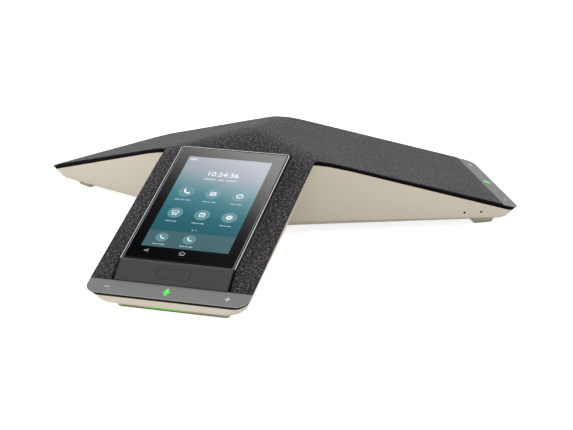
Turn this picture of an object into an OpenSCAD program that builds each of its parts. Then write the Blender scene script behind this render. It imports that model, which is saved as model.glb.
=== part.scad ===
// Three-armed tabletop conference phone.
// A beige undercut housing carries a cloth-covered roof of three sloping arms.
// Each arm ends in a touch bar above a lit foot, and the front arm holds the screen.

/* [Plan] */
// Length of an arm from the hub's axis to its tip
arm_l = 190.5; // [187:0.5:205]
// Width of an arm at its upper edge
arm_w = 116; // [110:1:126]
// Radius of the rounded corners at the end of an arm
corner_r = 8.5; // [7:0.5:12]

/* [Roof] */
// Height at which the three roof planes would meet if the ridges were sharp
peak_h = 78.7; // [77:0.1:84]
// Height of the roof at the tip of an arm
tip_h = 15.7; // [15:0.1:17]
// Softness of the three ridges between the roof planes
ridge_soft = 3.6; // [2.4:0.1:4.4]

/* [Roof skin] */
// Thickness of the cloth
cloth_t = 0.8; // [0.5:0.1:1.2]
// Thickness of the plastic frame under the cloth
frame_t = 2.2; // [2:0.1:2.8]
// How far the rim leans in under the roof's edge
rim_in = 1.5; // [0.5:0.1:2.5]
// Gap between neighbouring trim pieces
trim_gap = 0.15; // [0.1:0.05:0.4]

/* [Housing] */
// Height of the housing's underside above the table
belly_h = 7; // [6.4:0.1:8]
// Lean of the side walls, in degrees from the roof's normal
wall_lean = 24.4; // [18:0.2:26]
// Lean of the end walls, in degrees from the roof's normal
nose_lean = 3.8; // [0:0.1:12]
// Height above the underside at which the side walls end, at the hub's axis
edge_hub = 5; // [3:0.1:5.2]
// Height above the underside at which the side walls end, at the tips
edge_tip = 1.6; // [1.6:0.1:2.6]
// Lean of the chamfer below the side walls, in degrees from upright
edge_lean = 50; // [42:0.5:52]
// Radius of the corners of the underside
floor_r = 11; // [8:0.5:12]
// Thickness of the side walls
wall_t = 2.4; // [1.8:0.1:3]
// Thickness of the floor
floor_t = 2.4; // [1.8:0.1:2.6]
// How far the housing's upper edge stands proud of the rim
lip = 0.5; // [0.2:0.1:1]

/* [Touch bars] */
// Length of a touch bar along the arm, seen from above
bar_l = 13.4; // [11:0.1:15]
// Thickness of a touch bar
bar_t = 1; // [0.9:0.1:1.4]
// Length of the sensor board under a touch bar
sensor_l = 92; // [60:1:94]
// Width of the sensor board under a touch bar
sensor_w = 7.5; // [5:0.1:8]
// Thickness of every small circuit board
chip_t = 0.8; // [0.6:0.1:0.9]

/* [Feet] */
// Distance from the tip to the front edge of the foot on the table
foot_set = 15.4; // [13.5:0.1:18]
// Depth of a foot on the table
foot_d = 15.1; // [12:0.1:17]
// Half the length of a foot on the table
foot_half = 40; // [37:0.5:41]
// How much wider a foot is where it meets the housing
foot_flare = 2; // [1:0.1:3]
// Thickness of the rubber sole
sole_t = 0.8; // [0.6:0.1:1]
// Half the length of the light guide
guide_half = 36; // [30:0.5:36]
// Depth of the light guide, front to back
guide_d = 4; // [3:0.1:5]
// Height of the light guide's lower edge above the table
guide_z = 1.2; // [1.2:0.1:2.4]

/* [Microphones] */
// Distance from the tip to the nearer microphone hole
mic_set = 29; // [28:0.1:36]
// Distance between the two microphone holes of an arm
mic_pitch = 12.6; // [9:0.1:14]
// Radius of a microphone hole
mic_r = 1; // [0.6:0.1:1.3]
// Height of the microphone holes above the housing's floor
mic_up = 3.7; // [3:0.1:4]

/* [Screen] */
// Width of the cover glass
glass_w = 79.4; // [74:0.1:84]
// Length of the cover glass
glass_l = 126.3; // [120:0.1:128]
// Thickness of the cover glass
glass_t = 1.1; // [0.8:0.1:1.4]
// Height of the glass above the cloth at its upper end
screen_lift = 6.8; // [6.4:0.1:8]
// Extra tilt of the screen against the roof, in degrees
screen_tilt = 0.5; // [0:0.1:0.7]
// Width of the bezel beside and above the glass
bezel = 2.3; // [1.8:0.1:3]
// Width of the bezel below the glass
bezel_low = 1; // [0.8:0.1:1.6]
// Width of the ledge that carries the glass
ledge = 2.5; // [1.5:0.1:3.5]
// Width of the black border beside the display panel
lcd_side = 6.2; // [5.2:0.1:8.7]
// Width of the black border above and below the display panel
lcd_end = 5.15; // [5.15:0.05:8.15]
// Thickness of the display panel
lcd_t = 2.2; // [1.6:0.1:2.4]

/* [Chin] */
// Length of the chin between the screen and the touch bar, along the slope
chin_l = 17; // [15.5:0.1:19]
// Height of the chin's lower edge above the cloth
chin_step = 0.8; // [0.4:0.1:1.4]
// Wall thickness of the chin
chin_wall = 1.5; // [1.2:0.1:1.8]
// Width of the key in the chin
key_w = 26; // [20:0.5:30]
// Length of the key along the slope
key_l = 7.6; // [6:0.1:8.4]
// Gap round the key
key_gap = 0.2; // [0.15:0.05:0.35]
// Travel of the key
key_travel = 0.3; // [0.2:0.05:0.4]

/* [Loudspeaker] */
// Depth of the loudspeaker's seat below the top of the roof
seat_drop = 12.2; // [12.2:0.1:13.4]
// Radius of the loudspeaker's flange
driver_r = 33; // [31:0.5:33.5]
// Depth of the loudspeaker below its seat
driver_d = 21; // [20.5:0.5:23]
// Radius of the voice coil
coil_r = 9.6; // [8:0.1:11]
// Travel of the cone each way
cone_travel = 1; // [0.5:0.1:1.5]
// Wall thickness of the loudspeaker's chamber
chamber_t = 2; // [1.6:0.1:2.4]
// Spacing of the sound holes
hole_pitch = 6.4; // [6:0.1:8]
// Radius of a sound hole
hole_r = 1.7; // [1:0.1:2]

/* [Cable bay] */
// Width of the cable bay
bay_w = 63; // [62:0.5:66]
// Room between the tallest port and the cable bay's ceiling
bay_clear = 1.2; // [0.8:0.1:2.5]
// Thickness of the cable bay's walls
bay_t = 2.2; // [1.8:0.1:2.4]
// Where the port wall stands behind the hub's axis
port_y = 2; // [0:0.1:3]

/* [Main board] */
// Height of the pillars under the main board
pillar_h = 2; // [1.6:0.1:2.4]
// Thickness of the main board
board_t = 1.6; // [1.2:0.1:1.8]
// Length of the main board
board_l = 92; // [80:1:96]
// Width of the main board
board_w = 54; // [50:0.5:54]

/* [Screws] */
// Radius of a long screw's shank
shank_r = 1.4; // [1.1:0.1:1.6]
// Radius of a screw head
head_r = 2.7; // [2.3:0.1:3]
// Height of a screw head
head_h = 1.5; // [1.2:0.1:1.7]

/* [Hidden] */

$fn = 48;
hull_fn = 32;
eps = 0.01;
big = 400;
// How far joined forms sink into each other, and cutters reach past a face
bite = 1;
past = 1;

// Directions of the arms, seen from above
front = -90;
right = 30;
left = 150;
arms = [front, right, left];

// The hub's axis stands behind the middle of the outline
back_y = (arm_l - corner_r) * sin(right) + (arm_w / 2 - corner_r) * cos(right) + corner_r;
hub_y = (arm_l - back_y) / 2;

// Roof
roof_slope = atan((peak_h - tip_h) / arm_l);
half_w = arm_w / 2;
rim_t = cloth_t + frame_t;
seat_z = roof_z([0, 0]) - seat_drop;
tip_u = arm_l / cos(roof_slope);
bar_u = (arm_l - bar_l) / cos(roof_slope);

function drop(t) = t / cos(roof_slope);
function turn(p, a) = [p[0] * cos(a) - p[1] * sin(a), p[0] * sin(a) + p[1] * cos(a)];
function pull(p, a) = exp(tan(roof_slope) * (p[0] * cos(a) + p[1] * sin(a)) / ridge_soft);
function roof_z(p) = peak_h - ridge_soft * ln(pull(p, front) + pull(p, right) + pull(p, left));
// Height of one roof plane above the table, at a distance from the hub's axis
function plane_z(rad) = peak_h - tan(roof_slope) * rad;
// Distance below the roof plane, measured square to it
function depth_at(rad, z) = (plane_z(rad) - z) * cos(roof_slope);

module at_hub() translate([0, hub_y, 0]) children();
module at_arm(a) at_hub() rotate(a) children();
// Frame of a roof plane: x runs down the slope, z is square to it
module on_roof(a) at_arm(a) translate([0, 0, peak_h]) rotate([0, roof_slope, 0]) children();

// The roof's surface is drawn as rings of an outline a little larger than the plan
over = 6;
over_half = half_w + over;
over_l = arm_l + over;
side_n = 7;
tip_n = 4;
ring_n = 8;
notch = over_half / sqrt(3);
function side_x(i) = notch + (over_l - notch) * pow(i / side_n, 2);
function arm_edge(a) = [
  for (i = [0 : side_n]) turn([side_x(i), -over_half], a),
  for (j = [1 : tip_n - 1]) turn([over_l, over_half * (2 * j / tip_n - 1)], a),
  for (i = [side_n : -1 : 1]) turn([side_x(i), over_half], a)];
outline = concat(arm_edge(front), arm_edge(right), arm_edge(left));
spokes = len(outline);
function ring_p(i, j) = outline[j % spokes] * pow(i / ring_n, 1.3);
function top_p(p, fall) = [p[0], p[1], roof_z(p) - fall];
function top_i(i, j) = 1 + (i - 1) * spokes + (j % spokes);
foot_i = 1 + ring_n * spokes;

// Everything below the roof's surface, lowered by a thickness
module below_roof(t) {
  fall = drop(t);
  points = concat(
    [top_p([0, 0], fall)],
    [for (i = [1 : ring_n]) for (j = [0 : spokes - 1]) top_p(ring_p(i, j), fall)],
    [for (p = outline) [p[0], p[1], -over]],
    [[0, 0, -over]]);
  faces = concat(
    [for (j = [0 : spokes - 1]) [0, top_i(1, j + 1), top_i(1, j)]],
    [for (i = [1 : ring_n - 1]) for (j = [0 : spokes - 1])
      [top_i(i, j), top_i(i, j + 1), top_i(i + 1, j + 1)]],
    [for (i = [1 : ring_n - 1]) for (j = [0 : spokes - 1])
      [top_i(i, j), top_i(i + 1, j + 1), top_i(i + 1, j)]],
    [for (j = [0 : spokes - 1])
      [top_i(ring_n, j), top_i(ring_n, j + 1), foot_i + (j + 1) % spokes]],
    [for (j = [0 : spokes - 1])
      [top_i(ring_n, j), foot_i + (j + 1) % spokes, foot_i + j]],
    [for (j = [0 : spokes - 1])
      [foot_i + spokes, foot_i + j, foot_i + (j + 1) % spokes]]);
  at_hub() polyhedron(points, faces);
}

// One level of a block with two rounded corners at its far end
module level(end, half, r, z, start_half) {
  for (side = [-1, 1])
    translate([end - r, side * (half - r), z]) cylinder(r = r, h = eps, $fn = hull_fn);
  translate([0, -start_half, z]) cube([eps, 2 * start_half, eps]);
}

// The roof's edge: a block per arm whose sides lean in as they go down
rim_top = 3;
rim_low = 12;
module rim_block(a, inset) {
  lean = rim_in / rim_t;
  high = half_w + rim_top * lean - inset;
  low = half_w - rim_low * lean - inset;
  on_roof(a) hull() {
    level(tip_u + rim_top * lean - inset, high, corner_r - inset, rim_top, high);
    level(tip_u - rim_low * lean - inset, low, corner_r - inset, -rim_low, low);
  }
}
module rim_blocks(inset) for (a = arms) rim_block(a, inset);
module tips(extra) {
  for (a = arms)
    on_roof(a) translate([bar_u - extra, -arm_w, -big / 2]) cube([big, 2 * arm_w, big]);
}

// Housing: the walls lean in from the seam under the rim, and a chamfer that
// grows towards the hub joins them to the floor
seam_half = half_w - rim_in + lip;
seam_u = tip_u - rim_in + lip;
function half_at(n, inset) = seam_half + (n + rim_t) * tan(wall_lean) - inset / cos(wall_lean);
function nose_u(n, inset) = seam_u + (n + rim_t) * tan(nose_lean) - inset / cos(nose_lean);
// Depth under the roof plane at which the end wall meets a height
function nose_n(z, inset) =
  (z - peak_h + nose_u(0, inset) * sin(roof_slope))
  / (cos(roof_slope) - tan(nose_lean) * sin(roof_slope));
function nose_x(z, inset) =
  nose_u(nose_n(z, inset), inset) * cos(roof_slope) + nose_n(z, inset) * sin(roof_slope);
belly_top = 2;
edge_tilt = atan((edge_hub - edge_tip) / arm_l);
// The edge lies a trifle higher from arm to arm, so that no four faces share a corner
// in the notches between the arms
edge_step = 0.02;
function edge_z(a, rad) =
  belly_h + edge_hub - tan(edge_tilt) * rad + edge_step * (a - front) / (right - front);
function edge_half(a, rad) = half_at(-depth_at(rad, edge_z(a, rad)), 0);
// Half width of the chamfer at a height, moved in by a thickness
function chamfer_half(a, rad, z, inset) =
  edge_half(a, rad) + (z - edge_z(a, rad)) * tan(edge_lean) - inset / cos(edge_lean);
// How far the edge between wall and chamfer rises when both move in
function edge_up(inset) = inset * (1 / cos(edge_lean) - 1 / cos(wall_lean))
  / (tan(edge_lean) - tan(wall_lean) * cos(roof_slope));
module belly(a, inset, z) {
  r = floor_r - inset;
  up = edge_up(inset);
  end = nose_x(z, inset);
  mid = nose_x(edge_z(a, end) + up, inset);
  top_half = half_at(belly_top, inset);
  hull() {
    on_roof(a)
      level(nose_u(belly_top, inset), top_half, corner_r - inset, belly_top, top_half);
    at_arm(a) {
      translate([0, 0, edge_z(a, 0) + up]) rotate([0, edge_tilt, 0])
        level(mid / cos(edge_tilt), chamfer_half(a, mid - r, edge_z(a, mid - r) + up, inset),
          r, 0, chamfer_half(a, 0, edge_z(a, 0) + up, inset));
      level(end, chamfer_half(a, end - r, z, inset), r, z, chamfer_half(a, 0, z, inset));
    }
  }
}
floor_z = belly_h + floor_t;

// Cable bay and port wall
bay_back = 70;
board_z = floor_z + pillar_h;
board_top = board_z + board_t;
wall_y = port_y - bay_t;

// Ports: place along the port wall, width and height
rj_x = -9.6;
rj_w = 16.2;
rj_h = 13.4;
rj_d = 21;
usba_x = 6.8;
usba_w = 13.2;
usba_h = 6.2;
usba_d = 14;
usbc_x = 19.4;
usbc_w = 9;
usbc_h = 3.3;
usbc_d = 8;
jack_w = 6.4;
jack_h = 5.4;
jack_d = 12;
jack_in_x = -22.6;
jack_out_x = 27.6;
jack_r = 1.8;
port_gap = 0.25;
port_nose = 1.6;
bay_z = board_top + rj_h + bay_clear;
module bay(grow, up) {
  at_hub() translate([-bay_w / 2 - grow, port_y - grow, -over])
    cube([bay_w + 2 * grow, bay_back, bay_z + over + up]);
}
module port_hole(x, w, h) {
  at_hub() translate([x - w / 2 - port_gap, wall_y - past, board_top - port_gap])
    cube([w + 2 * port_gap, bay_t + 2 * past, h + 2 * port_gap]);
}
module port_block(x, w, h, d) {
  at_hub() translate([x - w / 2, wall_y + port_nose - d, board_top]) cube([w, d, h]);
}

// Screws through the housing into the roof's frame
post_x = 112;
post_v = 27;
post_z = 24;
post_r = 4;
post_gap = 0.2;
foot_x = arm_l - foot_set;
foot_screw_v = 24;
foot_screw_in = 4.5;
foot_screw_x = foot_x - foot_d + foot_screw_in;
foot_boss_h = 3;
head_sink = 0.4;
floor_skin = 1;
pillar_r = 3;
pillar_spots = [[-22, -26], [22, -26], [-22, -84], [22, -84]];
module each_post() {
  for (a = arms, side = [-1, 1]) at_arm(a) translate([post_x, side * post_v, 0]) children();
}
module each_foot_screw() {
  for (a = arms, side = [-1, 1])
    at_arm(a) translate([foot_screw_x, side * foot_screw_v, 0]) children();
}
module each_pillar() {
  for (spot = pillar_spots) at_hub() translate([spot[0], spot[1], 0]) children();
}

// Microphone holes in a level row in the clockwise wall of each arm, square to the wall
mic_row = atan(tan(roof_slope) / cos(wall_lean));
module on_mic_wall(a, away) {
  mic_x = arm_l - mic_set;
  mic_z = floor_z + mic_up;
  n = -depth_at(mic_x, mic_z);
  u = mic_x / cos(roof_slope) + (plane_z(mic_x) - mic_z) * sin(roof_slope);
  on_roof(a) translate([u, -half_at(n, 0), n]) rotate([90 + wall_lean, 0, 0])
    rotate(mic_row) translate([-away, 0, 0]) children();
}

// Lit slot in the floor above each light guide
neck_half = 28;
neck_d = 1.6;
guide_proud = 1.4;
guide_x = foot_x - guide_d + guide_proud;
guide_gap = 0.1;

// Gussets that stiffen each screw post
gusset_t = 1.2;
gusset_l = 8;
gusset_h = 9;
module post_gussets() {
  each_post() translate([0, 0, floor_z - bite]) for (turned = [0, 90]) rotate([90, 0, turned])
    translate([0, 0, -gusset_t / 2]) linear_extrude(gusset_t)
      polygon([[-gusset_l, 0], [gusset_l, 0], [post_r, gusset_h], [-post_r, gusset_h]]);
}

module base_housing() {
  color([0.76, 0.72, 0.63]) difference() {
    union() {
      difference() {
        intersection() {
          for (a = arms) belly(a, 0, belly_h);
          below_roof(rim_t);
        }
        difference() {
          for (a = arms) belly(a, wall_t, floor_z);
          bay(bay_t, bay_t);
        }
      }
      each_post() translate([0, 0, floor_z - bite]) cylinder(r = post_r, h = post_z - floor_z + bite);
      post_gussets();
      each_foot_screw()
        translate([0, 0, floor_z - bite]) cylinder(r = pillar_r, h = foot_boss_h + bite);
      each_pillar() translate([0, 0, floor_z - bite]) cylinder(r = pillar_r, h = pillar_h + bite);
    }
    bay(0, 0);
    port_hole(rj_x, rj_w, rj_h);
    port_hole(usba_x, usba_w, usba_h);
    port_hole(usbc_x, usbc_w, usbc_h);
    port_hole(jack_in_x, jack_w, jack_h);
    port_hole(jack_out_x, jack_w, jack_h);
    each_post() translate([0, 0, belly_h - past]) cylinder(r = shank_r + post_gap, h = post_z);
    each_post() translate([0, 0, belly_h - past])
      cylinder(r = head_r + post_gap, h = head_h + head_sink + past);
    each_foot_screw()
      translate([0, 0, belly_h - past]) cylinder(r = shank_r, h = floor_t + foot_boss_h);
    each_pillar() translate([0, 0, belly_h + floor_skin])
      cylinder(r = shank_r, h = floor_t + pillar_h);
    for (a = arms) {
      at_arm(a) translate([guide_x, -neck_half - guide_gap, belly_h - past])
        cube([neck_d + 2 * guide_gap, 2 * (neck_half + guide_gap), floor_t + 2 * past]);
      for (i = [0, 1]) on_mic_wall(a, i * mic_pitch) {
        translate([0, 0, -wall_t - past]) cylinder(r = mic_r, h = wall_t + 2 * past);
        translate([0, 0, -mic_r / 2]) cylinder(r1 = mic_r, r2 = 2 * mic_r, h = mic_r);
      }
    }
  }
}

// Roof frame
seat_w = 2.5;
ring_in = driver_r - seat_w;
ring_wall = 4;
ring_out = driver_r + ring_wall;
bond = 0.5;
slot_w = 24;
slot_l = 4;
sound_rings = 3;
module sound_holes() {
  at_hub() for (i = [-sound_rings : sound_rings], j = [-sound_rings : sound_rings])
    if (abs(i + j) <= sound_rings)
      translate([hole_pitch * (i + j / 2), hole_pitch * j * sqrt(3) / 2, seat_z - past])
        cylinder(r = hole_r, h = peak_h - seat_z, $fn = 24);
}
sensor_u = (bar_u + tip_u) / 2;
pocket_gap = 0.2;
screw_bite = 10;

// Tabs that reach down inside the housing's walls and locate the frame
tab_w = 10;
tab_t = 1.2;
tab_reach = 3;
tab_gap = 0.3;
tab_spots = [72, 104, 136];
tab_half = half_at(-rim_t - tab_reach, wall_t) - tab_gap;
module locating_tabs() {
  for (a = arms, x = tab_spots, side = [-1, 1])
    on_roof(a) translate([x - tab_w / 2, side * (tab_half - tab_t / 2) - tab_t / 2, -rim_t - tab_reach])
      cube([tab_w, tab_t, tab_reach + bond]);
}

module top_frame() {
  color([0.10, 0.10, 0.11]) difference() {
    union() {
      difference() {
        union() {
          difference() {
            intersection() {
              rim_blocks(0);
              below_roof(cloth_t);
            }
            tips(0);
          }
          intersection() {
            rim_blocks(0);
            below_roof(bar_t);
            tips(0);
          }
        }
        below_roof(rim_t);
      }
      intersection() {
        union() {
          at_hub() translate([0, 0, seat_z]) cylinder(r = ring_out, h = peak_h - seat_z);
          speaker_screw_spots() translate([0, 0, seat_z]) cylinder(r = ear_r, h = peak_h - seat_z);
          each_post() translate([0, 0, post_z]) cylinder(r = post_r, h = peak_h - post_z);
        }
        below_roof(rim_t - bond);
      }
      locating_tabs();
      display_posts();
    }
    intersection() {
      at_hub() translate([0, 0, seat_z - past]) cylinder(r = ring_in, h = peak_h - seat_z);
      below_roof(rim_t);
    }
    sound_holes();
    speaker_screw_spots()
      translate([0, 0, seat_z - past]) cylinder(r = ear_screw_r, h = ear_bite + 2 * past);
    each_post() translate([0, 0, post_z - past]) cylinder(r = shank_r, h = screw_bite + past);
    for (a = arms) on_roof(a)
      translate([sensor_u - sensor_w / 2 - pocket_gap, -sensor_l / 2 - pocket_gap, -bar_t - chip_t])
        cube([sensor_w + 2 * pocket_gap, sensor_l + 2 * pocket_gap, frame_t]);
    on_roof(front)
      translate([ribbon_u - slot_l / 2, -slot_w / 2, -big / 4]) cube([slot_l, slot_w, big / 2]);
    key_pocket(pocket_gap);
  }
}

// Cloth
screen_out_l = glass_l + bezel + bezel_low;
glass_u = bar_u - trim_gap - chin_l - trim_gap - bezel_low - glass_l;
screen_half = glass_w / 2 + bezel;
module screen_hole(gap) {
  on_roof(front)
    translate([glass_u - bezel - gap, -screen_half - gap, -rim_low])
      cube([bar_u - glass_u + bezel + 2 * gap, 2 * (screen_half + gap), big / 8]);
}
module fabric_cover() {
  color([0.29, 0.285, 0.29]) difference() {
    intersection() {
      rim_blocks(0);
      below_roof(0);
    }
    below_roof(cloth_t);
    tips(trim_gap);
    screen_hole(trim_gap);
  }
}

// Touch bars
module touch_bar(a) {
  color([0.53, 0.53, 0.52]) on_roof(a) translate([0, 0, -bar_t]) linear_extrude(bar_t) {
    translate([bar_u, -half_w]) square([tip_u - bar_u - corner_r, arm_w]);
    translate([bar_u, corner_r - half_w]) square([tip_u - bar_u, arm_w - 2 * corner_r]);
    for (side = [-1, 1]) intersection() {
      translate([tip_u - corner_r, side * (half_w - corner_r)]) circle(r = corner_r);
      translate([bar_u, -half_w]) square([tip_u - bar_u, arm_w]);
    }
  }
}
module touch_board(a) {
  color([0.10, 0.30, 0.16]) on_roof(a)
    translate([sensor_u - sensor_w / 2, -sensor_l / 2, -bar_t - chip_t])
      cube([sensor_w, sensor_l, chip_t]);
}

// Feet
foot_r = 2;
module foot_form(z0, z1, shrink) {
  lower = foot_flare * z0 / belly_h - shrink;
  upper = foot_flare * z1 / belly_h - shrink;
  mid = foot_x - foot_d / 2;
  hull() for (p = [[lower, z0], [upper, z1 - eps]])
    translate([0, 0, p[1]]) for (sx = [-1, 1], sy = [-1, 1])
      translate([mid + sx * (foot_d / 2 + p[0] - foot_r), sy * (foot_half + p[0] - foot_r), 0])
        cylinder(r = foot_r, h = eps, $fn = hull_fn);
}
module guide_room(gap) {
  translate([guide_x - gap, -guide_half - gap, guide_z - gap])
    cube([guide_d + foot_flare + past, 2 * (guide_half + gap), belly_h]);
}
module foot(a) {
  color([0.62, 0.57, 0.48]) difference() {
    at_arm(a) difference() {
      foot_form(sole_t, belly_h, 0);
      guide_room(guide_gap);
    }
    each_foot_screw() {
      cylinder(r = shank_r + post_gap, h = belly_h + past);
      cylinder(r = head_r + post_gap, h = sole_t + head_h + post_gap);
    }
  }
}
sole_in = 0.3;
module foot_sole(a) {
  color([0.16, 0.15, 0.14]) at_arm(a) foot_form(0, sole_t, sole_in);
}
fit_gap = 0.05;
module light_guide(a) {
  color([0.55, 0.85, 0.45]) at_arm(a) {
    intersection() {
      foot_form(sole_t, belly_h, fit_gap);
      guide_room(0);
    }
    translate([guide_x + guide_gap, -neck_half, belly_h - bite])
      cube([neck_d, 2 * neck_half, floor_t + bite]);
  }
}
led_w = 8;
led_rim = 2;
led_x = guide_x + neck_d / 2 - led_w / 2;
module led_board(a) {
  color([0.10, 0.30, 0.16]) at_arm(a) translate([led_x, -neck_half - led_rim, floor_z])
    cube([led_w, 2 * (neck_half + led_rim), chip_t]);
}

// Microphones: a board with two capsules behind the holes
mic_board_w = 4.6;
mic_board_low = 1.2;
mic_board_rim = 4;
mic_can_r = 1.9;
mic_can_h = 1.2;
mic_can_up = 0.6;
module mic_board(a) {
  can_z = -wall_t - mic_can_h;
  color([0.10, 0.30, 0.16]) {
    on_mic_wall(a, mic_pitch) translate([-mic_board_rim, -mic_board_low, can_z - chip_t])
      cube([mic_pitch + 2 * mic_board_rim, mic_board_w, chip_t]);
    for (i = [0, 1]) on_mic_wall(a, i * mic_pitch)
      translate([0, mic_can_up, can_z - chip_t / 2]) cylinder(r = mic_can_r, h = mic_can_h + chip_t / 2);
  }
}

// Flat cables along the floor from the hub to the lights
ribbon_w = 8;
ribbon_t = 0.3;
ribbon_start_front = 8;
ribbon_start_rear = 44;
module arm_ribbon(a) {
  start = a == front ? ribbon_start_front : ribbon_start_rear;
  color([0.75, 0.76, 0.78]) at_arm(a) translate([start, -ribbon_w / 2, floor_z])
    cube([led_x - start, ribbon_w, ribbon_t]);
}

// Screen: frame, glass, panel and driver board
module on_screen() {
  on_roof(front) translate([glass_u, 0, screen_lift]) rotate([0, screen_tilt, 0]) children();
}
module above_frame() {
  on_roof(front) translate([0, -arm_w, -cloth_t]) cube([big, 2 * arm_w, big]);
}
module screen_plate(x0, x1, half, r, z, h) {
  translate([x0 + r, -half + r, z]) cube([x1 - x0 - 2 * r, 2 * (half - r), h]);
  translate([x0, -half + r, z]) cube([x1 - x0, 2 * (half - r), h]);
  translate([x0 + r, -half, z]) cube([x1 - x0 - 2 * r, 2 * half, h]);
  for (x = [x0 + r, x1 - r], side = [-1, 1])
    translate([x, side * (half - r), z]) cylinder(r = r, h = h);
}
frame_r = 3;
glass_r = 1.5;
screen_deep = 14;
edge_cut = 0.6;
module display_frame() {
  color([0.14, 0.14, 0.15]) difference() {
    intersection() {
      on_screen() union() {
        screen_plate(-bezel, glass_l + bezel_low, screen_half, frame_r, -screen_deep,
          screen_deep - edge_cut);
        screen_plate(edge_cut - bezel, glass_l + bezel_low - edge_cut, screen_half - edge_cut,
          frame_r - edge_cut, -2 * edge_cut, 2 * edge_cut);
      }
      above_frame();
    }
    on_screen() {
      screen_plate(-trim_gap, glass_l + trim_gap, glass_w / 2 + trim_gap, glass_r, -glass_t, big);
      translate([ledge, ledge - glass_w / 2, -big / 2])
        cube([glass_l - 2 * ledge, glass_w - 2 * ledge, big]);
    }
  }
}
module display_glass() {
  color([0.02, 0.02, 0.025])
    on_screen() screen_plate(0, glass_l, glass_w / 2, glass_r, -glass_t, glass_t);
}
lcd_w = glass_w - 2 * lcd_side;
lcd_l = glass_l - 2 * lcd_end;
module lcd_panel() {
  color([0.16, 0.42, 0.46]) on_screen()
    translate([(glass_l - lcd_l) / 2, -lcd_w / 2, -glass_t - lcd_t]) cube([lcd_l, lcd_w, lcd_t]);
}
rest_h = 1;
driver_w = 60;
driver_l = 60;
driver_set = 20;
driver_u = glass_u + driver_set;
ribbon_set = 6;
ribbon_u = driver_u + driver_l + ribbon_set;
rest_r = 2;
rest_in = 4;
module display_posts() {
  on_roof(front) for (x = [rest_in, driver_l - rest_in], side = [-1, 1])
    translate([driver_u + x, side * (driver_w / 2 - rest_in), -cloth_t - bond])
      cylinder(r = rest_r, h = rest_h + bond);
}
module display_board() {
  color([0.10, 0.30, 0.16]) on_roof(front)
    translate([driver_u, -driver_w / 2, rest_h - cloth_t]) cube([driver_l, driver_w, chip_t]);
}

// Chin: a ramp from the screen down to the touch bar
chin_u = bar_u - trim_gap - chin_l;
chin_end = bar_u - trim_gap;
chin_under = 0.2;
chin_high = screen_lift - (chin_u - glass_u) * sin(screen_tilt) - chin_under;
chin_angle = atan((chin_high - chin_step) / chin_l);
chin_mid = chin_u + chin_l / 2;
function ramp_n(u) = chin_high - (u - chin_u) * tan(chin_angle);
module chin_prism(half, cut) {
  down = cut / cos(chin_angle);
  u0 = chin_u + cut;
  u1 = chin_end - cut;
  on_roof(front) translate([0, half, 0]) rotate([90, 0, 0]) linear_extrude(2 * half)
    polygon([[u0, -cloth_t - cut], [u0, ramp_n(u0) - down],
      [u1, max(ramp_n(u1) - down, -cloth_t)], [u1, -cloth_t - cut]]);
}
key_r = 2.4;
module key_plan(gap, h) {
  r = key_r + gap;
  linear_extrude(h) {
    translate([-key_l / 2 - gap, r - key_w / 2 - gap]) square([key_l + 2 * gap, key_w + 2 * gap - 2 * r]);
    translate([r - key_l / 2 - gap, -key_w / 2 - gap]) square([key_l + 2 * gap - 2 * r, key_w + 2 * gap]);
    for (sx = [-1, 1], sy = [-1, 1])
      translate([sx * (key_l / 2 + gap - r), sy * (key_w / 2 + gap - r)]) circle(r = r);
  }
}
module chin_cover() {
  color([0.26, 0.26, 0.27]) difference() {
    chin_prism(screen_half, 0);
    chin_prism(screen_half - chin_wall, chin_wall);
    on_roof(front) translate([chin_mid, 0, -rim_low]) key_plan(key_gap, big / 8);
  }
}

// Key: it slides square to the roof and is caught behind the chin by its flange
switch_w = 4;
switch_h = 0.6;
flange = 0.8;
pocket_d = 0.4;
key_low = key_travel - cloth_t - pocket_d + switch_h;
module key_pocket(gap) {
  on_roof(front)
    translate([chin_mid - key_l / 2 - gap, -key_w / 4 - gap, -cloth_t - chip_t - pocket_d])
      cube([key_l + 2 * gap, key_w / 2 + 2 * gap, chip_t + pocket_d + past]);
}
flange_gap = 0.08;
module chin_key() {
  color([0.25, 0.25, 0.26]) {
    intersection() {
      chin_prism(screen_half, fit_gap);
      on_roof(front) translate([chin_mid, 0, key_low]) key_plan(0, big / 8);
    }
    intersection() {
      chin_prism(screen_half, chin_wall + flange_gap);
      on_roof(front) translate([chin_mid, 0, key_low]) key_plan(flange, big / 8);
    }
  }
}
module key_switch() {
  color([0.10, 0.30, 0.16]) on_roof(front) translate([chin_mid, 0, -cloth_t - chip_t - pocket_d]) {
    translate([-key_l / 2, -key_w / 4, 0]) cube([key_l, key_w / 2, chip_t]);
    translate([-switch_w / 2, -switch_w / 2, chip_t / 2])
      cube([switch_w, switch_w, switch_h + chip_t / 2]);
  }
}

// Main board and ports
wing_l = 13;
wing_half = 30;
board_gap = 0.4;
module main_board() {
  board_y = wall_y - board_gap;
  color([0.08, 0.28, 0.15]) difference() {
    at_hub() union() {
      translate([-board_w / 2, board_y - board_l, board_z]) cube([board_w, board_l, board_t]);
      translate([-wing_half, board_y - wing_l, board_z]) cube([2 * wing_half, wing_l, board_t]);
    }
    each_pillar()
      translate([0, 0, board_z - past]) cylinder(r = shank_r + post_gap, h = board_t + 2 * past);
  }
}
can_w = 36;
can_l = 30;
can_h = 3;
can_y = -48;
module shield_can() {
  color([0.72, 0.73, 0.75]) at_hub() translate([-can_w / 2, can_y - can_l / 2, board_top])
    cube([can_w, can_l, can_h]);
}
rj_in_w = 11.9;
rj_in_h = 8.2;
rj_in_d = 14;
rj_in_up = 2.6;
module ethernet_jack() {
  color([0.70, 0.71, 0.73]) difference() {
    port_block(rj_x, rj_w, rj_h, rj_d);
    at_hub() translate([rj_x - rj_in_w / 2, wall_y + port_nose - rj_in_d, board_top + rj_in_up])
      cube([rj_in_w, rj_in_d + past, rj_in_h]);
  }
}
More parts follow.
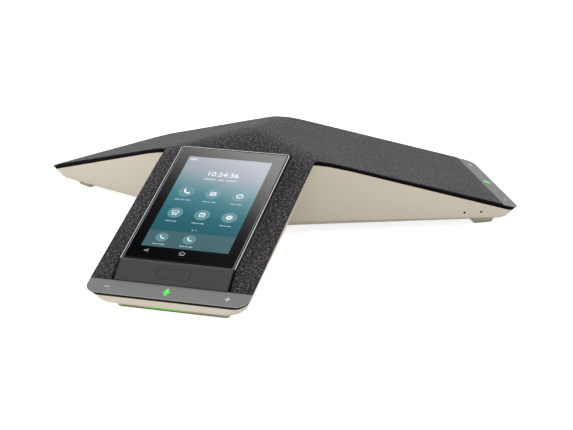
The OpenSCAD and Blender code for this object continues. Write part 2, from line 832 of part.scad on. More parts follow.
// A socket's shell with a tongue in it
module tongue_port(x, w, h, d, wall, back, side, tongue_up, tongue_t) {
  in_w = w - 2 * wall;
  color([0.70, 0.71, 0.73]) difference() {
    port_block(x, w, h, d);
    at_hub() translate([x - in_w / 2, wall_y + port_nose - d + back, board_top + wall]) difference() {
      cube([in_w, d, h - 2 * wall]);
      translate([side, -past, tongue_up]) cube([in_w - 2 * side, d - back, tongue_t]);
    }
  }
}
usb_wall = 0.5;
usba_back = 2;
usba_side = 0.6;
usba_tongue_up = 3.2;
usba_tongue_t = 1.6;
module usb_a_port()
  tongue_port(usba_x, usba_w, usba_h, usba_d, usb_wall, usba_back, usba_side, usba_tongue_up,
    usba_tongue_t);
usbc_wall = 0.4;
usbc_back = 1.5;
usbc_side = 1;
usbc_tongue_up = 0.9;
usbc_tongue_t = 0.7;
module usb_c_port()
  tongue_port(usbc_x, usbc_w, usbc_h, usbc_d, usbc_wall, usbc_back, usbc_side, usbc_tongue_up,
    usbc_tongue_t);
module mic_jack(x) {
  color([0.13, 0.13, 0.14]) difference() {
    port_block(x, jack_w, jack_h, jack_d);
    at_hub() translate([x, wall_y + port_nose + past, board_top + jack_h / 2])
      rotate([90, 0, 0]) cylinder(r = jack_r, h = jack_d);
  }
}

// Loudspeaker, firing up through the sound holes
gasket_t = 0.5;
flange_t = 1.8;
rim_z = seat_z - gasket_t;
magnet_r = 20;
plate_t = 1.6;
magnet_h = 6;
back_z = seat_z - driver_d;
plate_z1 = back_z + plate_t + magnet_h + plate_t;
coil_gap = 0.4;
coil_t = 0.5;
surround_t = 0.5;
surround_set = 3;
surround_out = driver_r - surround_set;
surround_w = 6;
cone_r = surround_out - surround_w;
cone_set = 3.4;
cone_z = rim_z - cone_set;
cone_t = 0.6;
ledge_w = 2;
basket_t = 1.4;
seat_ledge_z = rim_z - flange_t / 2;
plate_in = 1;
basket_foot = 3;
basket_rise = 6;
window_w = 10;
window_up = 3;
window_rim = 1.5;
seat_gap = 0.2;
module revolve() at_hub() rotate_extrude($fn = 64) children();
module speaker_basket() {
  base_r = magnet_r - plate_in;
  bowl_r = surround_out - ledge_w;
  bowl_z = plate_z1 + basket_rise;
  color([0.20, 0.20, 0.21]) difference() {
    revolve() polygon([[base_r - basket_foot, plate_z1], [base_r, plate_z1],
      [bowl_r + basket_t, bowl_z], [bowl_r + basket_t, rim_z - flange_t],
      [driver_r, rim_z - flange_t], [driver_r, rim_z], [surround_out + seat_gap, rim_z],
      [surround_out + seat_gap, seat_ledge_z], [bowl_r, seat_ledge_z],
      [bowl_r, bowl_z + basket_t / 2], [base_r - basket_t / 2, plate_z1 + basket_t],
      [base_r - basket_foot, plate_z1 + basket_t]]);
    at_hub() for (i = [0 : 5]) rotate(60 * i + 30)
      translate([base_r, -window_w / 2, plate_z1 + window_up])
        cube([driver_r, window_w, rim_z - flange_t - window_rim - plate_z1 - window_up]);
  }
}
magnet_room = 2;
module speaker_magnet() {
  pole_r = coil_r - coil_t - coil_gap;
  color([0.33, 0.33, 0.35]) revolve() polygon([[0, back_z], [magnet_r, back_z],
    [magnet_r, plate_z1 - plate_t], [magnet_r - plate_in, plate_z1 - plate_t],
    [magnet_r - plate_in, plate_z1], [coil_r + coil_gap, plate_z1],
    [coil_r + coil_gap, plate_z1 - plate_t], [coil_r + magnet_room, plate_z1 - plate_t],
    [coil_r + magnet_room, back_z + plate_t], [pole_r, back_z + plate_t],
    [pole_r, plate_z1], [0, plate_z1]]);
}
coil_clear = 2;
coil_low = plate_z1 - plate_t - coil_clear - cone_travel;
coil_top = plate_z1 + coil_clear + 2 * cone_travel;
module voice_coil() {
  color([0.72, 0.42, 0.22]) revolve() translate([coil_r - coil_t, coil_low])
    square([coil_t, coil_top - coil_low]);
}
cap_h = 3;
cap_rim = 1;
cap_n = 8;
function cap_p(i) = [(coil_r + cap_rim) * cos(90 * i / cap_n),
  coil_top + cone_t + cap_h * sin(90 * i / cap_n)];
module speaker_cone() {
  color([0.12, 0.12, 0.13]) revolve() polygon(concat(
    [[0, coil_top], [coil_r, coil_top], [cone_r, cone_z - cone_t], [cone_r, cone_z]],
    [for (i = [0 : cap_n]) cap_p(i)]));
}
soft_gap = 0.3;
module speaker_surround() {
  roll_out = surround_out - ledge_w - soft_gap;
  roll_x = (cone_r + fit_gap + roll_out) / 2;
  roll_r = roll_out - roll_x;
  color([0.08, 0.08, 0.08]) revolve() {
    difference() {
      translate([roll_x, cone_z]) circle(r = roll_r);
      translate([roll_x, cone_z]) circle(r = roll_r - surround_t);
      translate([roll_x - roll_r, cone_z - 2 * roll_r]) square([2 * roll_r, 2 * roll_r]);
    }
    translate([roll_x - roll_r, cone_z - cone_t]) square([surround_t, cone_t + eps]);
    translate([roll_out - surround_t, cone_z]) square([surround_t, seat_ledge_z - cone_z + eps]);
    translate([roll_out - surround_t, seat_ledge_z])
      square([surround_out - roll_out + surround_t, surround_t]);
  }
}
gasket_in = 0.4;
module speaker_gasket() {
  color([0.10, 0.10, 0.10]) at_hub() difference() {
    translate([0, 0, rim_z]) cylinder(r = driver_r, h = gasket_t);
    translate([0, 0, rim_z - past]) cylinder(r = surround_out + gasket_in, h = gasket_t + 2 * past);
  }
}
chamber_gap = 0.6;
chamber_in = driver_r + chamber_gap;
chamber_out = chamber_in + chamber_t;
chamber_z = back_z - chamber_t;
ear_r = 4;
ear_gap = 0.5;
ear_x = chamber_out + head_r + ear_gap;
ear_h = 4;
ear_bite = 3;
ear_screw_r = 1.1;
module speaker_screw_spots() {
  for (a = arms) at_hub() rotate(a + 60) translate([ear_x, 0, 0]) children();
}
module speaker_chamber() {
  color([0.16, 0.16, 0.17]) difference() {
    union() {
      at_hub() translate([0, 0, chamber_z]) cylinder(r = chamber_out, h = seat_z - chamber_z);
      speaker_screw_spots() translate([0, 0, seat_z - ear_h]) cylinder(r = ear_r, h = ear_h);
    }
    at_hub() translate([0, 0, back_z]) cylinder(r = chamber_in, h = driver_d + past);
    speaker_screw_spots() translate([0, 0, seat_z - 2 * ear_h])
      cylinder(r = ear_screw_r + post_gap, h = 3 * ear_h);
  }
}

// Screws: a round head and a plain shank
module screw(z, up, r, shank) {
  translate([0, 0, z - (up > 0 ? head_h : 0)]) cylinder(r = head_r, h = head_h);
  translate([0, 0, up > 0 ? z - eps : z - shank]) cylinder(r = r, h = shank + eps);
}
module housing_screws() {
  head_z = belly_h + head_h + head_sink;
  color([0.62, 0.62, 0.64]) each_post()
    screw(head_z - fit_gap, 1, shank_r - fit_gap, post_z + screw_bite - past - head_z);
}
module board_screws() {
  color([0.62, 0.62, 0.64]) each_pillar()
    screw(board_top, -1, shank_r - fit_gap, board_t + pillar_h + past);
}
module foot_screws() {
  head_z = sole_t + head_h + post_gap;
  color([0.62, 0.62, 0.64]) each_foot_screw()
    screw(head_z - fit_gap, 1, shank_r - fit_gap, belly_h + foot_boss_h - head_z);
}
module speaker_screws() {
  color([0.62, 0.62, 0.64]) speaker_screw_spots()
    screw(seat_z - ear_h, 1, ear_screw_r - fit_gap, ear_h + ear_bite);
}

base_housing();
top_frame();
fabric_cover();
touch_bar(front);  // touch_bar_front
touch_bar(right);  // touch_bar_right
touch_bar(left);  // touch_bar_left
touch_board(front);  // touch_board_front
touch_board(right);  // touch_board_right
touch_board(left);  // touch_board_left
foot(front);  // foot_front
foot(right);  // foot_right
foot(left);  // foot_left
foot_sole(front);  // foot_sole_front
foot_sole(right);  // foot_sole_right
foot_sole(left);  // foot_sole_left
light_guide(front);  // light_guide_front
light_guide(right);  // light_guide_right
light_guide(left);  // light_guide_left
led_board(front);  // led_board_front
led_board(right);  // led_board_right
led_board(left);  // led_board_left
mic_board(front);  // mic_board_front
mic_board(right);  // mic_board_right
mic_board(left);  // mic_board_left
arm_ribbon(front);  // arm_ribbon_front
arm_ribbon(right);  // arm_ribbon_right
arm_ribbon(left);  // arm_ribbon_left
display_frame();
display_glass();
lcd_panel();
display_board();
chin_cover();
chin_key();
key_switch();
main_board();
shield_can();
ethernet_jack();
usb_a_port();
usb_c_port();
mic_jack(jack_in_x);  // mic_jack_inner
mic_jack(jack_out_x);  // mic_jack_outer
speaker_basket();
speaker_magnet();
speaker_cone();
voice_coil();
speaker_surround();
speaker_gasket();
speaker_chamber();
housing_screws();
board_screws();
foot_screws();
speaker_screws();
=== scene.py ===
"""Dresses a three-armed tabletop conference phone: cloth, plastics, screen, lights and camera."""
import logging
import math
from collections.abc import Callable, Iterable, Sequence
from dataclasses import dataclass, field
from enum import Enum
from itertools import pairwise

import bmesh
import bpy
from mathutils import Matrix, Vector


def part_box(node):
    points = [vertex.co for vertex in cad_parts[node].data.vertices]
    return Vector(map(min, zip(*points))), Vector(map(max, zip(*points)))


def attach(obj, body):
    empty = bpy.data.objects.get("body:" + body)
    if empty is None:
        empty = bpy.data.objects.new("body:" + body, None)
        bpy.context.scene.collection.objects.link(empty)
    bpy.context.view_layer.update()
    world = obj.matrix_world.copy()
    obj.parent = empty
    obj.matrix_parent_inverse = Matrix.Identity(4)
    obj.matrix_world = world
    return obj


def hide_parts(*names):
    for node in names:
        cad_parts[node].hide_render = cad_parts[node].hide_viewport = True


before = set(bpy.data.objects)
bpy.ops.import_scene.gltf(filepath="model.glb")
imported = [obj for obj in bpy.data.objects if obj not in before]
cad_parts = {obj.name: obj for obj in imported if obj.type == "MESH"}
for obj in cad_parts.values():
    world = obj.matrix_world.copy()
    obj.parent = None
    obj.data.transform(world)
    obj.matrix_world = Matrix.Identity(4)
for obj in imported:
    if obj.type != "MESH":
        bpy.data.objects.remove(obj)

LOG = logging.getLogger("conference_phone")
BODY = "phone"
KEY_BODY = "key"
LAY = "lay"
MM = 0.001
SAME_PLACE = 1e-6
GLASS_IOR = 1.5
STITCH_SHARE = 0.4
YARN_STRETCH = (1.0, 0.9, 1.0)

Colour = tuple[float, float, float]
Point = tuple[float, float]
Socket = bpy.types.NodeSocket
Sockets = bpy.types.bpy_prop_collection
Material = bpy.types.Material
Piece = bpy.types.Object
Mesh = bmesh.types.BMesh

NO_LIGHT: Colour = (0.0, 0.0, 0.0)
ALL_LIGHT: Colour = (1.0, 1.0, 1.0)
UNIT: Point = (0.0, 1.0)
NOISE_SPAN: Point = (0.3, 0.7)


class Arm(Enum):
    """Direction of each arm in degrees, seen from above."""

    FRONT = -90.0
    RIGHT = 30.0
    LEFT = 150.0

    @property
    def label(self) -> str:
        """The arm's name as the nodes spell it."""
        return self.name.lower()


class Layer(Enum):
    """How far a flat printed or lit form stands above what carries it, in metres."""

    PICTURE = 0.00002
    BAND = 0.00004
    DISC = 0.00006
    SIGN = 0.00008
    PRINT = 0.00005


def srgb(red: int, green: int, blue: int) -> Colour:
    """Turns display values into the linear values that a shader takes.

    Args:
        red: Red, 0 to 255.
        green: Green, 0 to 255.
        blue: Blue, 0 to 255.

    Returns:
        The linear colour.
    """
    def linear(value: int) -> float:
        """One channel."""
        share = value / 255
        return share / 12.92 if share <= 0.04045 else ((share + 0.055) / 1.055) ** 2.4

    return linear(red), linear(green), linear(blue)


def rgba(colour: Colour, gain: float = 1.0) -> tuple[float, float, float, float]:
    """A colour times a gain, kept within 0 to 1, with full alpha."""
    return tuple(min(1.0, max(0.0, part * gain)) for part in colour) + (1.0,)


def bent(value: float, knots: Sequence[Point]) -> float:
    """A value carried along a bent line; its end parts run on past the knots."""
    after = next((number for number, knot in enumerate(knots[1:-1], 1) if value <= knot[0]), len(knots) - 1)
    (low, start), (high, end) = knots[after - 1], knots[after]
    return start + (value - low) * (end - start) / (high - low)


# ---------------------------------------------------------------- plan of the phone


@dataclass(frozen=True)
class Plan:
    """The phone's main sizes in metres, and the frames of its sloping planes."""

    hub_y: float
    arm_l: float
    arm_w: float
    peak_h: float = 0.0787
    tip_h: float = 0.0157
    ridge_soft: float = 0.0024
    bar_l: float = 0.0134
    trim_gap: float = 0.00015
    chin_l: float = 0.017
    glass_w: float = 0.0794
    glass_l: float = 0.1263
    bezel: float = 0.0023
    bezel_low: float = 0.001
    screen_lift: float = 0.0068
    screen_tilt: float = math.radians(0.5)
    top_shift: float = 0.0013

    @classmethod
    def from_frame(cls) -> "Plan":
        """Takes the hub's place and the arm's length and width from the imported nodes."""
        magnet_low, magnet_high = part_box("speaker_magnet")
        bar_low, bar_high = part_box("touch_bar_front")
        hub_y = (magnet_low[1] + magnet_high[1]) / 2
        return cls(hub_y, hub_y - bar_low[1], bar_high[0] - bar_low[0])

    @property
    def slope(self) -> float:
        """Slope of a roof plane, in radians."""
        return math.atan((self.peak_h - self.tip_h) / self.arm_l)

    @property
    def tip_u(self) -> float:
        """Distance down the slope to the tip of an arm."""
        return self.arm_l / math.cos(self.slope)

    @property
    def bar_u(self) -> float:
        """Distance down the slope to the upper edge of a touch bar."""
        return (self.arm_l - self.bar_l) / math.cos(self.slope)

    @property
    def glass_u(self) -> float:
        """Distance down the slope to the upper end of the glass."""
        return self.bar_u - 2 * self.trim_gap - self.chin_l - self.bezel_low - self.glass_l

    def hub(self, arm: Arm) -> Matrix:
        """Frame of an arm on the table: x runs out from the hub, y across the arm."""
        return Matrix.Translation((0, self.hub_y, 0)) @ Matrix.Rotation(math.radians(arm.value), 4, "Z")

    def roof(self, arm: Arm) -> Matrix:
        """Frame of a roof plane: x runs down the slope, y across it, z square to it."""
        return self.hub(arm) @ Matrix.Translation((0, 0, self.peak_h)) @ Matrix.Rotation(self.slope, 4, "Y")

    def screen(self) -> Matrix:
        """Frame of the glass: x runs down it from its upper end, z is square to it."""
        return (
            self.roof(Arm.FRONT)
            @ Matrix.Translation((self.glass_u, 0, self.screen_lift))
            @ Matrix.Rotation(self.screen_tilt, 4, "Y")
        )

    def roof_height(self, along: float, across: float) -> float:
        """Height of the soft-ridged roof over a point of an arm.

        Args:
            along: Distance from the hub's axis along the arm.
            across: Distance from the arm's middle line.

        Returns:
            The height above the table.
        """
        steep = math.tan(self.slope) / self.ridge_soft
        half, side = -0.5 * along, across * math.sin(math.radians(120))
        total = sum(math.exp(steep * pull) for pull in (along, half + side, half - side))
        return self.peak_h - self.ridge_soft * math.log(total)


# ---------------------------------------------------------------- shader groups


class Nodes:
    """Adds nodes to a tree and links them."""

    def __init__(self, owner: object) -> None:
        """Empties the tree of a material, world or group and keeps it."""
        if not isinstance(owner, bpy.types.NodeTree):
            owner.use_nodes = True
            owner = owner.node_tree
            owner.nodes.clear()
        self.tree = owner

    def add(self, kind: str, values: dict | None = None, **settings: object) -> bpy.types.Node:
        """Adds a node.

        Args:
            kind: The node's type.
            values: Input values or sockets to link, by input name or number.
            **settings: The node's own settings.

        Returns:
            The new node.
        """
        node = self.tree.nodes.new(kind)
        for name, setting in settings.items():
            setattr(node, name, setting)
        for name, value in (values or {}).items():
            if isinstance(value, bpy.types.NodeSocket):
                self.tree.links.new(value, node.inputs[name])
            else:
                node.inputs[name].default_value = value
        return node

    def math(self, operation: str, first: object, second: object = 0.0) -> Socket:
        """One step of arithmetic."""
        return self.add("ShaderNodeMath", {0: first, 1: second}, operation=operation).outputs[0]

    def mix(self, factor: object, first: object, second: object) -> Socket:
        """A colour between two others."""
        values = {0: factor, 6: first, 7: second}
        return self.add("ShaderNodeMix", values, data_type="RGBA").outputs[2]

    def span(self, value: object, source: Point, target: Point, **settings: object) -> Socket:
        """A value carried from one range to another."""
        values = {0: value, 1: source[0], 2: source[1], 3: target[0], 4: target[1]}
        return self.add("ShaderNodeMapRange", values, **settings).outputs[0]

    def ramp(self, factor: object, stops: Sequence[tuple[float, Colour]]) -> Socket:
        """A colour ramp with the given stops."""
        node = self.add("ShaderNodeValToRGB", {0: factor})
        elements = node.color_ramp.elements
        for number, (place, colour) in enumerate(stops):
            element = elements[number] if number < 2 else elements.new(place)
            element.position = place
            element.color = rgba(colour)
        return node.outputs[0]

    def noise(self, place: Socket, scale: Socket, detail: float, rough: float = 0.5) -> Socket:
        """A noise value about a half."""
        values = {"Vector": place, "Scale": scale, "Detail": detail, "Roughness": rough}
        return self.add("ShaderNodeTexNoise", values).outputs["Fac"]

    def bump(self, height: Socket, strength: float, distance: float) -> Socket:
        """A normal from a height."""
        values = {"Height": height, "Strength": strength, "Distance": distance}
        return self.add("ShaderNodeBump", values).outputs[0]

    def place(self) -> Socket:
        """The piece's own coordinates."""
        return self.add("ShaderNodeTexCoord").outputs["Object"]

    def split(self, vector: Socket) -> Sockets:
        """The three parts of a vector."""
        return self.add("ShaderNodeSeparateXYZ", {0: vector}).outputs

    def seen(self, *rays: str) -> Socket:
        """1 where one of the given kinds of ray looks, else 0."""
        path = self.add("ShaderNodeLightPath").outputs
        seen = path[f"Is {rays[0]} Ray"]
        for ray in rays[1:]:
            seen = self.math("MAXIMUM", seen, path[f"Is {ray} Ray"])
        return seen

    def glow(self, colour: object, strength: object) -> Socket:
        """An emission shader."""
        return self.add("ShaderNodeEmission", {"Color": colour, "Strength": strength}).outputs[0]


class EffectGroup:
    """A shader node group that is built once and placed in many materials."""

    def __init__(self, name: str, inputs: dict[str, float], outputs: Sequence[str],
                 fill: Callable[[Nodes, Sockets], Sequence[Socket]]) -> None:
        """Builds the group.

        Args:
            name: The group's name.
            inputs: Input names with their usual values.
            outputs: Output names.
            fill: Adds the inner nodes and gives the output sockets in order.
        """
        self.tree = bpy.data.node_groups.new(name, "ShaderNodeTree")
        for label, usual in inputs.items():
            socket = self.tree.interface.new_socket(label, in_out="INPUT", socket_type="NodeSocketFloat")
            socket.default_value = usual
        for label in outputs:
            self.tree.interface.new_socket(label, in_out="OUTPUT", socket_type="NodeSocketFloat")
        nodes = Nodes(self.tree)
        entry = nodes.add("NodeGroupInput").outputs
        nodes.add("NodeGroupOutput", dict(zip(outputs, fill(nodes, entry))))

    def put(self, nodes: Nodes, values: dict[str, float]) -> Sockets:
        """Puts the group in a material with that material's own values; gives its outputs."""
        node = nodes.add("ShaderNodeGroup", node_tree=self.tree)
        for label, value in values.items():
            node.inputs[label].default_value = value
        return node.outputs


def fill_grain(nodes: Nodes, entry: Sockets) -> Sequence[Socket]:
    """Broad unevenness and fine grain of a moulded, cast or printed surface."""
    place = nodes.place()
    return (nodes.noise(place, entry["Mottle Scale"], 3.0, 0.6),
            nodes.noise(place, entry["Grain Scale"], 2.0, 0.7))


def fill_yarn(nodes: Nodes, entry: Sockets) -> Sequence[Socket]:
    """Flecks and raised stitches of a fine melange knit, along the cloth's own directions."""
    lay = nodes.add("ShaderNodeUVMap", uv_map=LAY).outputs[0]
    stretched = nodes.add("ShaderNodeVectorMath", {0: lay, 1: YARN_STRETCH}, operation="MULTIPLY").outputs[0]
    fleck = nodes.noise(stretched, entry["Fleck Scale"], 1.0, 0.6)
    down, across, _ = nodes.split(lay)
    turn = nodes.math("MULTIPLY", entry["Stitch Scale"], math.tau)
    rows = nodes.math("SINE", nodes.math("MULTIPLY", down, turn))
    wales = nodes.math("SINE", nodes.math("MULTIPLY", across, turn))
    stitch = nodes.math("MULTIPLY", nodes.math("MULTIPLY", rows, wales), STITCH_SHARE)
    return fleck, nodes.noise(lay, entry["Cloud Scale"], 3.0), nodes.math("ADD", stitch, fleck)


def fill_glow(nodes: Nodes, entry: Sockets) -> Sequence[Socket]:
    """Falls from 1 over the middle of an arm to 0 at the ends of its light guide."""
    x, y, _ = nodes.split(nodes.place())
    from_hub = nodes.math("SUBTRACT", y, entry["Hub Y"])
    across = nodes.math("ADD", nodes.math("MULTIPLY", x, entry["Across X"]),
                        nodes.math("MULTIPLY", from_hub, entry["Across Y"]))
    centred = nodes.math("ADD", across, entry["Shift"])
    share = nodes.math("DIVIDE", nodes.math("ABSOLUTE", centred), entry["Half Length"])
    return (nodes.span(share, (0.2, 1.0), (1.0, 0.0), interpolation_type="SMOOTHSTEP"),)


class Effects:
    """The shader groups that the finishes share."""

    def __init__(self) -> None:
        """Builds the groups."""
        self.grain = EffectGroup("surface_grain", {"Mottle Scale": 30.0, "Grain Scale": 2500.0},
                                 ("Tone", "Grain"), fill_grain)
        self.yarn = EffectGroup("melange_yarn",
                                {"Fleck Scale": 600.0, "Stitch Scale": 900.0, "Cloud Scale": 22.0},
                                ("Fleck", "Cloud", "Height"), fill_yarn)
        self.glow = EffectGroup("guide_glow", {"Hub Y": 0.0, "Across X": 1.0, "Across Y": 0.0,
                                               "Shift": 0.0, "Half Length": 0.034}, ("Glow",), fill_glow)


# ---------------------------------------------------------------- finishes


class Paint(Nodes):
    """The nodes of one material around a single Principled shader."""

    def __init__(self, name: str, effects: Effects, values: dict) -> None:
        """Starts the material; the values are constants of the shader's sockets."""
        self.material = bpy.data.materials.new(name)
        super().__init__(self.material)
        self.effects = effects
        self.shader = self.add("ShaderNodeBsdfPrincipled", values)
        self.add("ShaderNodeOutputMaterial", {"Surface": self.shader.outputs[0]})

    def grain(self, mottle: float, fine: float) -> tuple[Socket, Socket]:
        """The surface's broad tone and its fine grain."""
        return tuple(self.effects.grain.put(self, {"Mottle Scale": mottle, "Grain Scale": fine}))

    def finish(self, sockets: dict[str, Socket]) -> Material:
        """Links values to the shader and gives the material."""
        for label, socket in sockets.items():
            self.tree.links.new(socket, self.shader.inputs[label])
        return self.material


@dataclass(frozen=True)
class Moulded:
    """Moulded plastic, rubber, paper or metal: an uneven tone and a fine grain."""

    name: str
    colour: Colour
    roughness: float = 0.5
    unevenness: float = 0.05
    mottle_scale: float = 30.0
    grain_scale: float = 2500.0
    grain_depth: float = 0.00002
    specular: float = 0.5
    metallic: float = 0.0

    def build(self, effects: Effects) -> Material:
        """Makes the material."""
        paint = Paint(self.name, effects, {"Metallic": self.metallic, "Specular IOR Level": self.specular})
        tone, grain = paint.grain(self.mottle_scale, self.grain_scale)
        dull, bright = (rgba(self.colour, 1 + side * self.unevenness) for side in (-1, 1))
        rough = (self.roughness - 0.04, self.roughness + 0.04)
        return paint.finish({"Base Color": paint.mix(tone, dull, bright),
                             "Roughness": paint.span(tone, NOISE_SPAN, rough),
                             "Normal": paint.bump(grain, 0.5, self.grain_depth)})


@dataclass(frozen=True)
class Laminate:
    """Lacquered circuit board with copper tracks under the lacquer and tinned spots."""

    name: str
    lacquer: Colour
    track: Colour
    tin: Colour
    spot_scale: float = 320.0
    spot_size: float = 0.22
    track_scale: float = 90.0
    track_size: float = 0.06

    def build(self, effects: Effects) -> Material:
        """Makes the material."""
        paint = Paint(self.name, effects, {"Specular IOR Level": 0.5})
        place = paint.place()

        def within(scale: float, size: float, **settings: str) -> Socket:
            """1 within a distance of a cell's middle or edge, else 0."""
            cells = paint.add("ShaderNodeTexVoronoi", {"Vector": place, "Scale": scale}, **settings)
            return paint.math("LESS_THAN", cells.outputs["Distance"], size)

        on_track = within(self.track_scale, self.track_size, feature="DISTANCE_TO_EDGE", distance="EUCLIDEAN")
        on_spot = within(self.spot_scale, self.spot_size)
        board = paint.mix(on_track, rgba(self.lacquer), rgba(self.track))
        return paint.finish({"Base Color": paint.mix(on_spot, board, rgba(self.tin)), "Metallic": on_spot,
                             "Roughness": paint.span(paint.grain(60.0, 1800.0)[0], NOISE_SPAN, (0.3, 0.42)),
                             "Normal": paint.bump(on_track, 0.4, 0.00003)})


@dataclass(frozen=True)
class Melange:
    """Fine melange knit: dark and pale flecks, a soft sheen and raised stitches."""

    name: str
    shade: Colour
    body: Colour
    fleck: Colour
    sheen: float = 0.22

    def build(self, effects: Effects) -> Material:
        """Makes the material."""
        paint = Paint(self.name, effects, {
            "Roughness": 0.92, "Specular IOR Level": 0.15, "Sheen Weight": self.sheen,
            "Sheen Roughness": 0.35, "Sheen Tint": (0.95, 0.94, 1.0, 1.0)})
        fleck, cloud, height = effects.yarn.put(paint, {})
        place = paint.math("ADD", fleck, paint.span(cloud, NOISE_SPAN, (-0.03, 0.03)))
        stops = ((0.36, self.shade), (0.47, self.body), (0.54, self.body), (0.66, self.fleck))
        return paint.finish({"Base Color": paint.ramp(place, stops),
                             "Normal": paint.bump(height, 0.8, 0.00025)})


@dataclass(frozen=True)
class Glass:
    """Black-backed cover glass with a faint unevenness of gloss."""

    name: str
    backing: Colour
    roughness: float = 0.03

    def build(self, effects: Effects) -> Material:
        """Makes the material."""
        paint = Paint(self.name, effects, {"IOR": GLASS_IOR})
        tone, _ = paint.grain(18.0, 900.0)
        rough = (self.roughness - 0.01, self.roughness + 0.02)
        return paint.finish({"Base Color": paint.mix(tone, rgba(self.backing, 0.8), rgba(self.backing, 1.2)),
                             "Roughness": paint.span(tone, NOISE_SPAN, rough)})


@dataclass(frozen=True)
class LitPicture:
    """The lit picture under the glass: a soft gradient down the screen."""

    name: str
    stops: tuple[tuple[float, Colour], ...]
    top: float
    low: float
    lean: float = -0.12
    haze: float = 0.004

    def build(self, effects: Effects) -> Material:
        """Makes the material."""
        paint = Paint(self.name, effects, {"Base Color": rgba(NO_LIGHT), "IOR": GLASS_IOR,
                                           "Roughness": 0.04, "Emission Strength": 1.0})
        down, across, _ = paint.split(paint.place())
        drift = paint.span(paint.grain(16.0, 40.0)[0], NOISE_SPAN, (-self.haze, self.haze))
        leaning = paint.math("ADD", down, paint.math("MULTIPLY", across, self.lean))
        share = paint.span(paint.math("ADD", leaning, drift), (self.top, self.low), UNIT)
        return paint.finish({"Emission Color": paint.ramp(share, self.stops)})


@dataclass(frozen=True)
class LitSign:
    """A lit or printed sign: its own light, very slightly uneven."""

    name: str
    colour: Colour
    strength: float = 1.0
    roughness: float = 0.1

    def build(self, effects: Effects) -> Material:
        """Makes the material."""
        paint = Paint(self.name, effects, {"IOR": GLASS_IOR, "Roughness": self.roughness,
                                           "Emission Strength": self.strength})
        tone, _ = paint.grain(700.0, 2500.0)
        light, body = (paint.mix(tone, rgba(self.colour, low), rgba(self.colour, high))
                       for low, high in ((0.9, 1.05), (0.18, 0.22)))
        return paint.finish({"Emission Color": light, "Base Color": body})


@dataclass(frozen=True)
class GuideGlow:
    """Translucent light guide, lit over its middle and fading to its own colour."""

    name: str
    arm: Arm
    hub_y: float
    dark: Colour = srgb(168, 158, 136)
    light: Colour = srgb(72, 186, 56)
    shift: float = 0.0035
    half_l: float = 0.025
    strength: float = 0.7

    def build(self, effects: Effects) -> Material:
        """Makes the material."""
        paint = Paint(self.name, effects, {"Roughness": 0.35, "Emission Strength": self.strength})
        turn = math.radians(self.arm.value)
        glow, = effects.glow.put(paint, {
            "Hub Y": self.hub_y, "Across X": -math.sin(turn), "Across Y": math.cos(turn),
            "Shift": self.shift, "Half Length": self.half_l})
        uneven = paint.span(paint.grain(90.0, 1200.0)[0], NOISE_SPAN, (0.9, 1.0))
        lit = paint.math("MULTIPLY", glow, uneven)
        # The base colour also turns green where the guide is lit: painted light beside the glow.
        return paint.finish({"Base Color": paint.mix(lit, rgba(self.dark), rgba(self.light, 0.6)),
                             "Emission Color": paint.mix(lit, rgba(NO_LIGHT), rgba(self.light))})


@dataclass
class Palette:
    """Every finish of the phone, built once and looked up by name."""

    effects: Effects
    built: dict[str, Material] = field(default_factory=dict)

    def take(self, finish: object) -> Material:
        """The finish's material, built at its first use."""
        if finish.name not in self.built:
            self.built[finish.name] = finish.build(self.effects)
        return self.built[finish.name]


def grey(level: int) -> Colour:
    """A neutral tone from a display value."""
    return srgb(level, level, level)


HOUSING_BEIGE = Moulded("housing_beige", srgb(206, 198, 182), 0.55, 0.02,
                        grain_scale=3000.0, grain_depth=0.00001, specular=0.35)
# A paler copy of the shell's beige: a painted highlight on the lip and on the rims of the sound holes.
HOUSING_LIP_PAINTED_HIGHLIGHT = Moulded("housing_lip_painted_highlight", srgb(232, 226, 212), 0.5, 0.02, specular=0.4)
# Near black for the shade inside the sound holes: painted shade.
SOUND_HOLE_PAINTED_SHADE = Moulded("sound_hole_painted_shade", srgb(14, 13, 12), 0.8, specular=0.05)
FRAME_BLACK = Moulded("frame_black", grey(8), 0.8, specular=0.04)
CLOTH_CHARCOAL = Melange("cloth_charcoal", srgb(26, 25, 26), srgb(52, 50, 52), srgb(98, 95, 98))
# The roof cloth darkened as painted shade, for its turned-down edge and cut edges.
CLOTH_HEM_PAINTED_SHADE = Melange("cloth_hem_painted_shade", grey(8), srgb(20, 20, 21), srgb(56, 54, 56), sheen=0.02)
BAR_GREY = Moulded("bar_grey", srgb(118, 118, 117), 0.55, 0.03,
                   grain_scale=4000.0, grain_depth=0.000006, specular=0.3)
# A paler copy of the bar's grey for its rounded edges: a painted highlight.
BAR_EDGE_PAINTED_HIGHLIGHT = Moulded("bar_edge_painted_highlight", srgb(176, 176, 174), 0.4, 0.03)
# Near black on the grey bar's sides: painted shade.
BAR_SIDE_PAINTED_SHADE = Moulded("bar_side", grey(8), 0.7, specular=0.05)
BEZEL_BLACK = Moulded("bezel_black", srgb(14, 14, 15), 0.5, 0.06, specular=0.15)
# Pale grey on the black bezel's outer edge: a painted highlight.
BEZEL_EDGE_PAINTED_HIGHLIGHT = Moulded("bezel_edge_painted_highlight", grey(204), 0.4, 0.03, metallic=0.2)
GLASS_BLACK = Glass("glass_black", srgb(9, 9, 11))
# Pale grey at the black glass's edge: a painted highlight.
GLASS_EDGE_PAINTED_HIGHLIGHT = Moulded("glass_edge_painted_highlight", srgb(150, 151, 152), 0.25, 0.03)
CHIN_GREY = Moulded("chin_grey", srgb(49, 51, 53), 0.5, 0.03,
                    grain_scale=3500.0, grain_depth=0.000008, specular=0.35)
KEY_GREY = Moulded("key_grey", srgb(48, 50, 52), 0.47, 0.03,
                   grain_scale=3500.0, grain_depth=0.000008, specular=0.35)
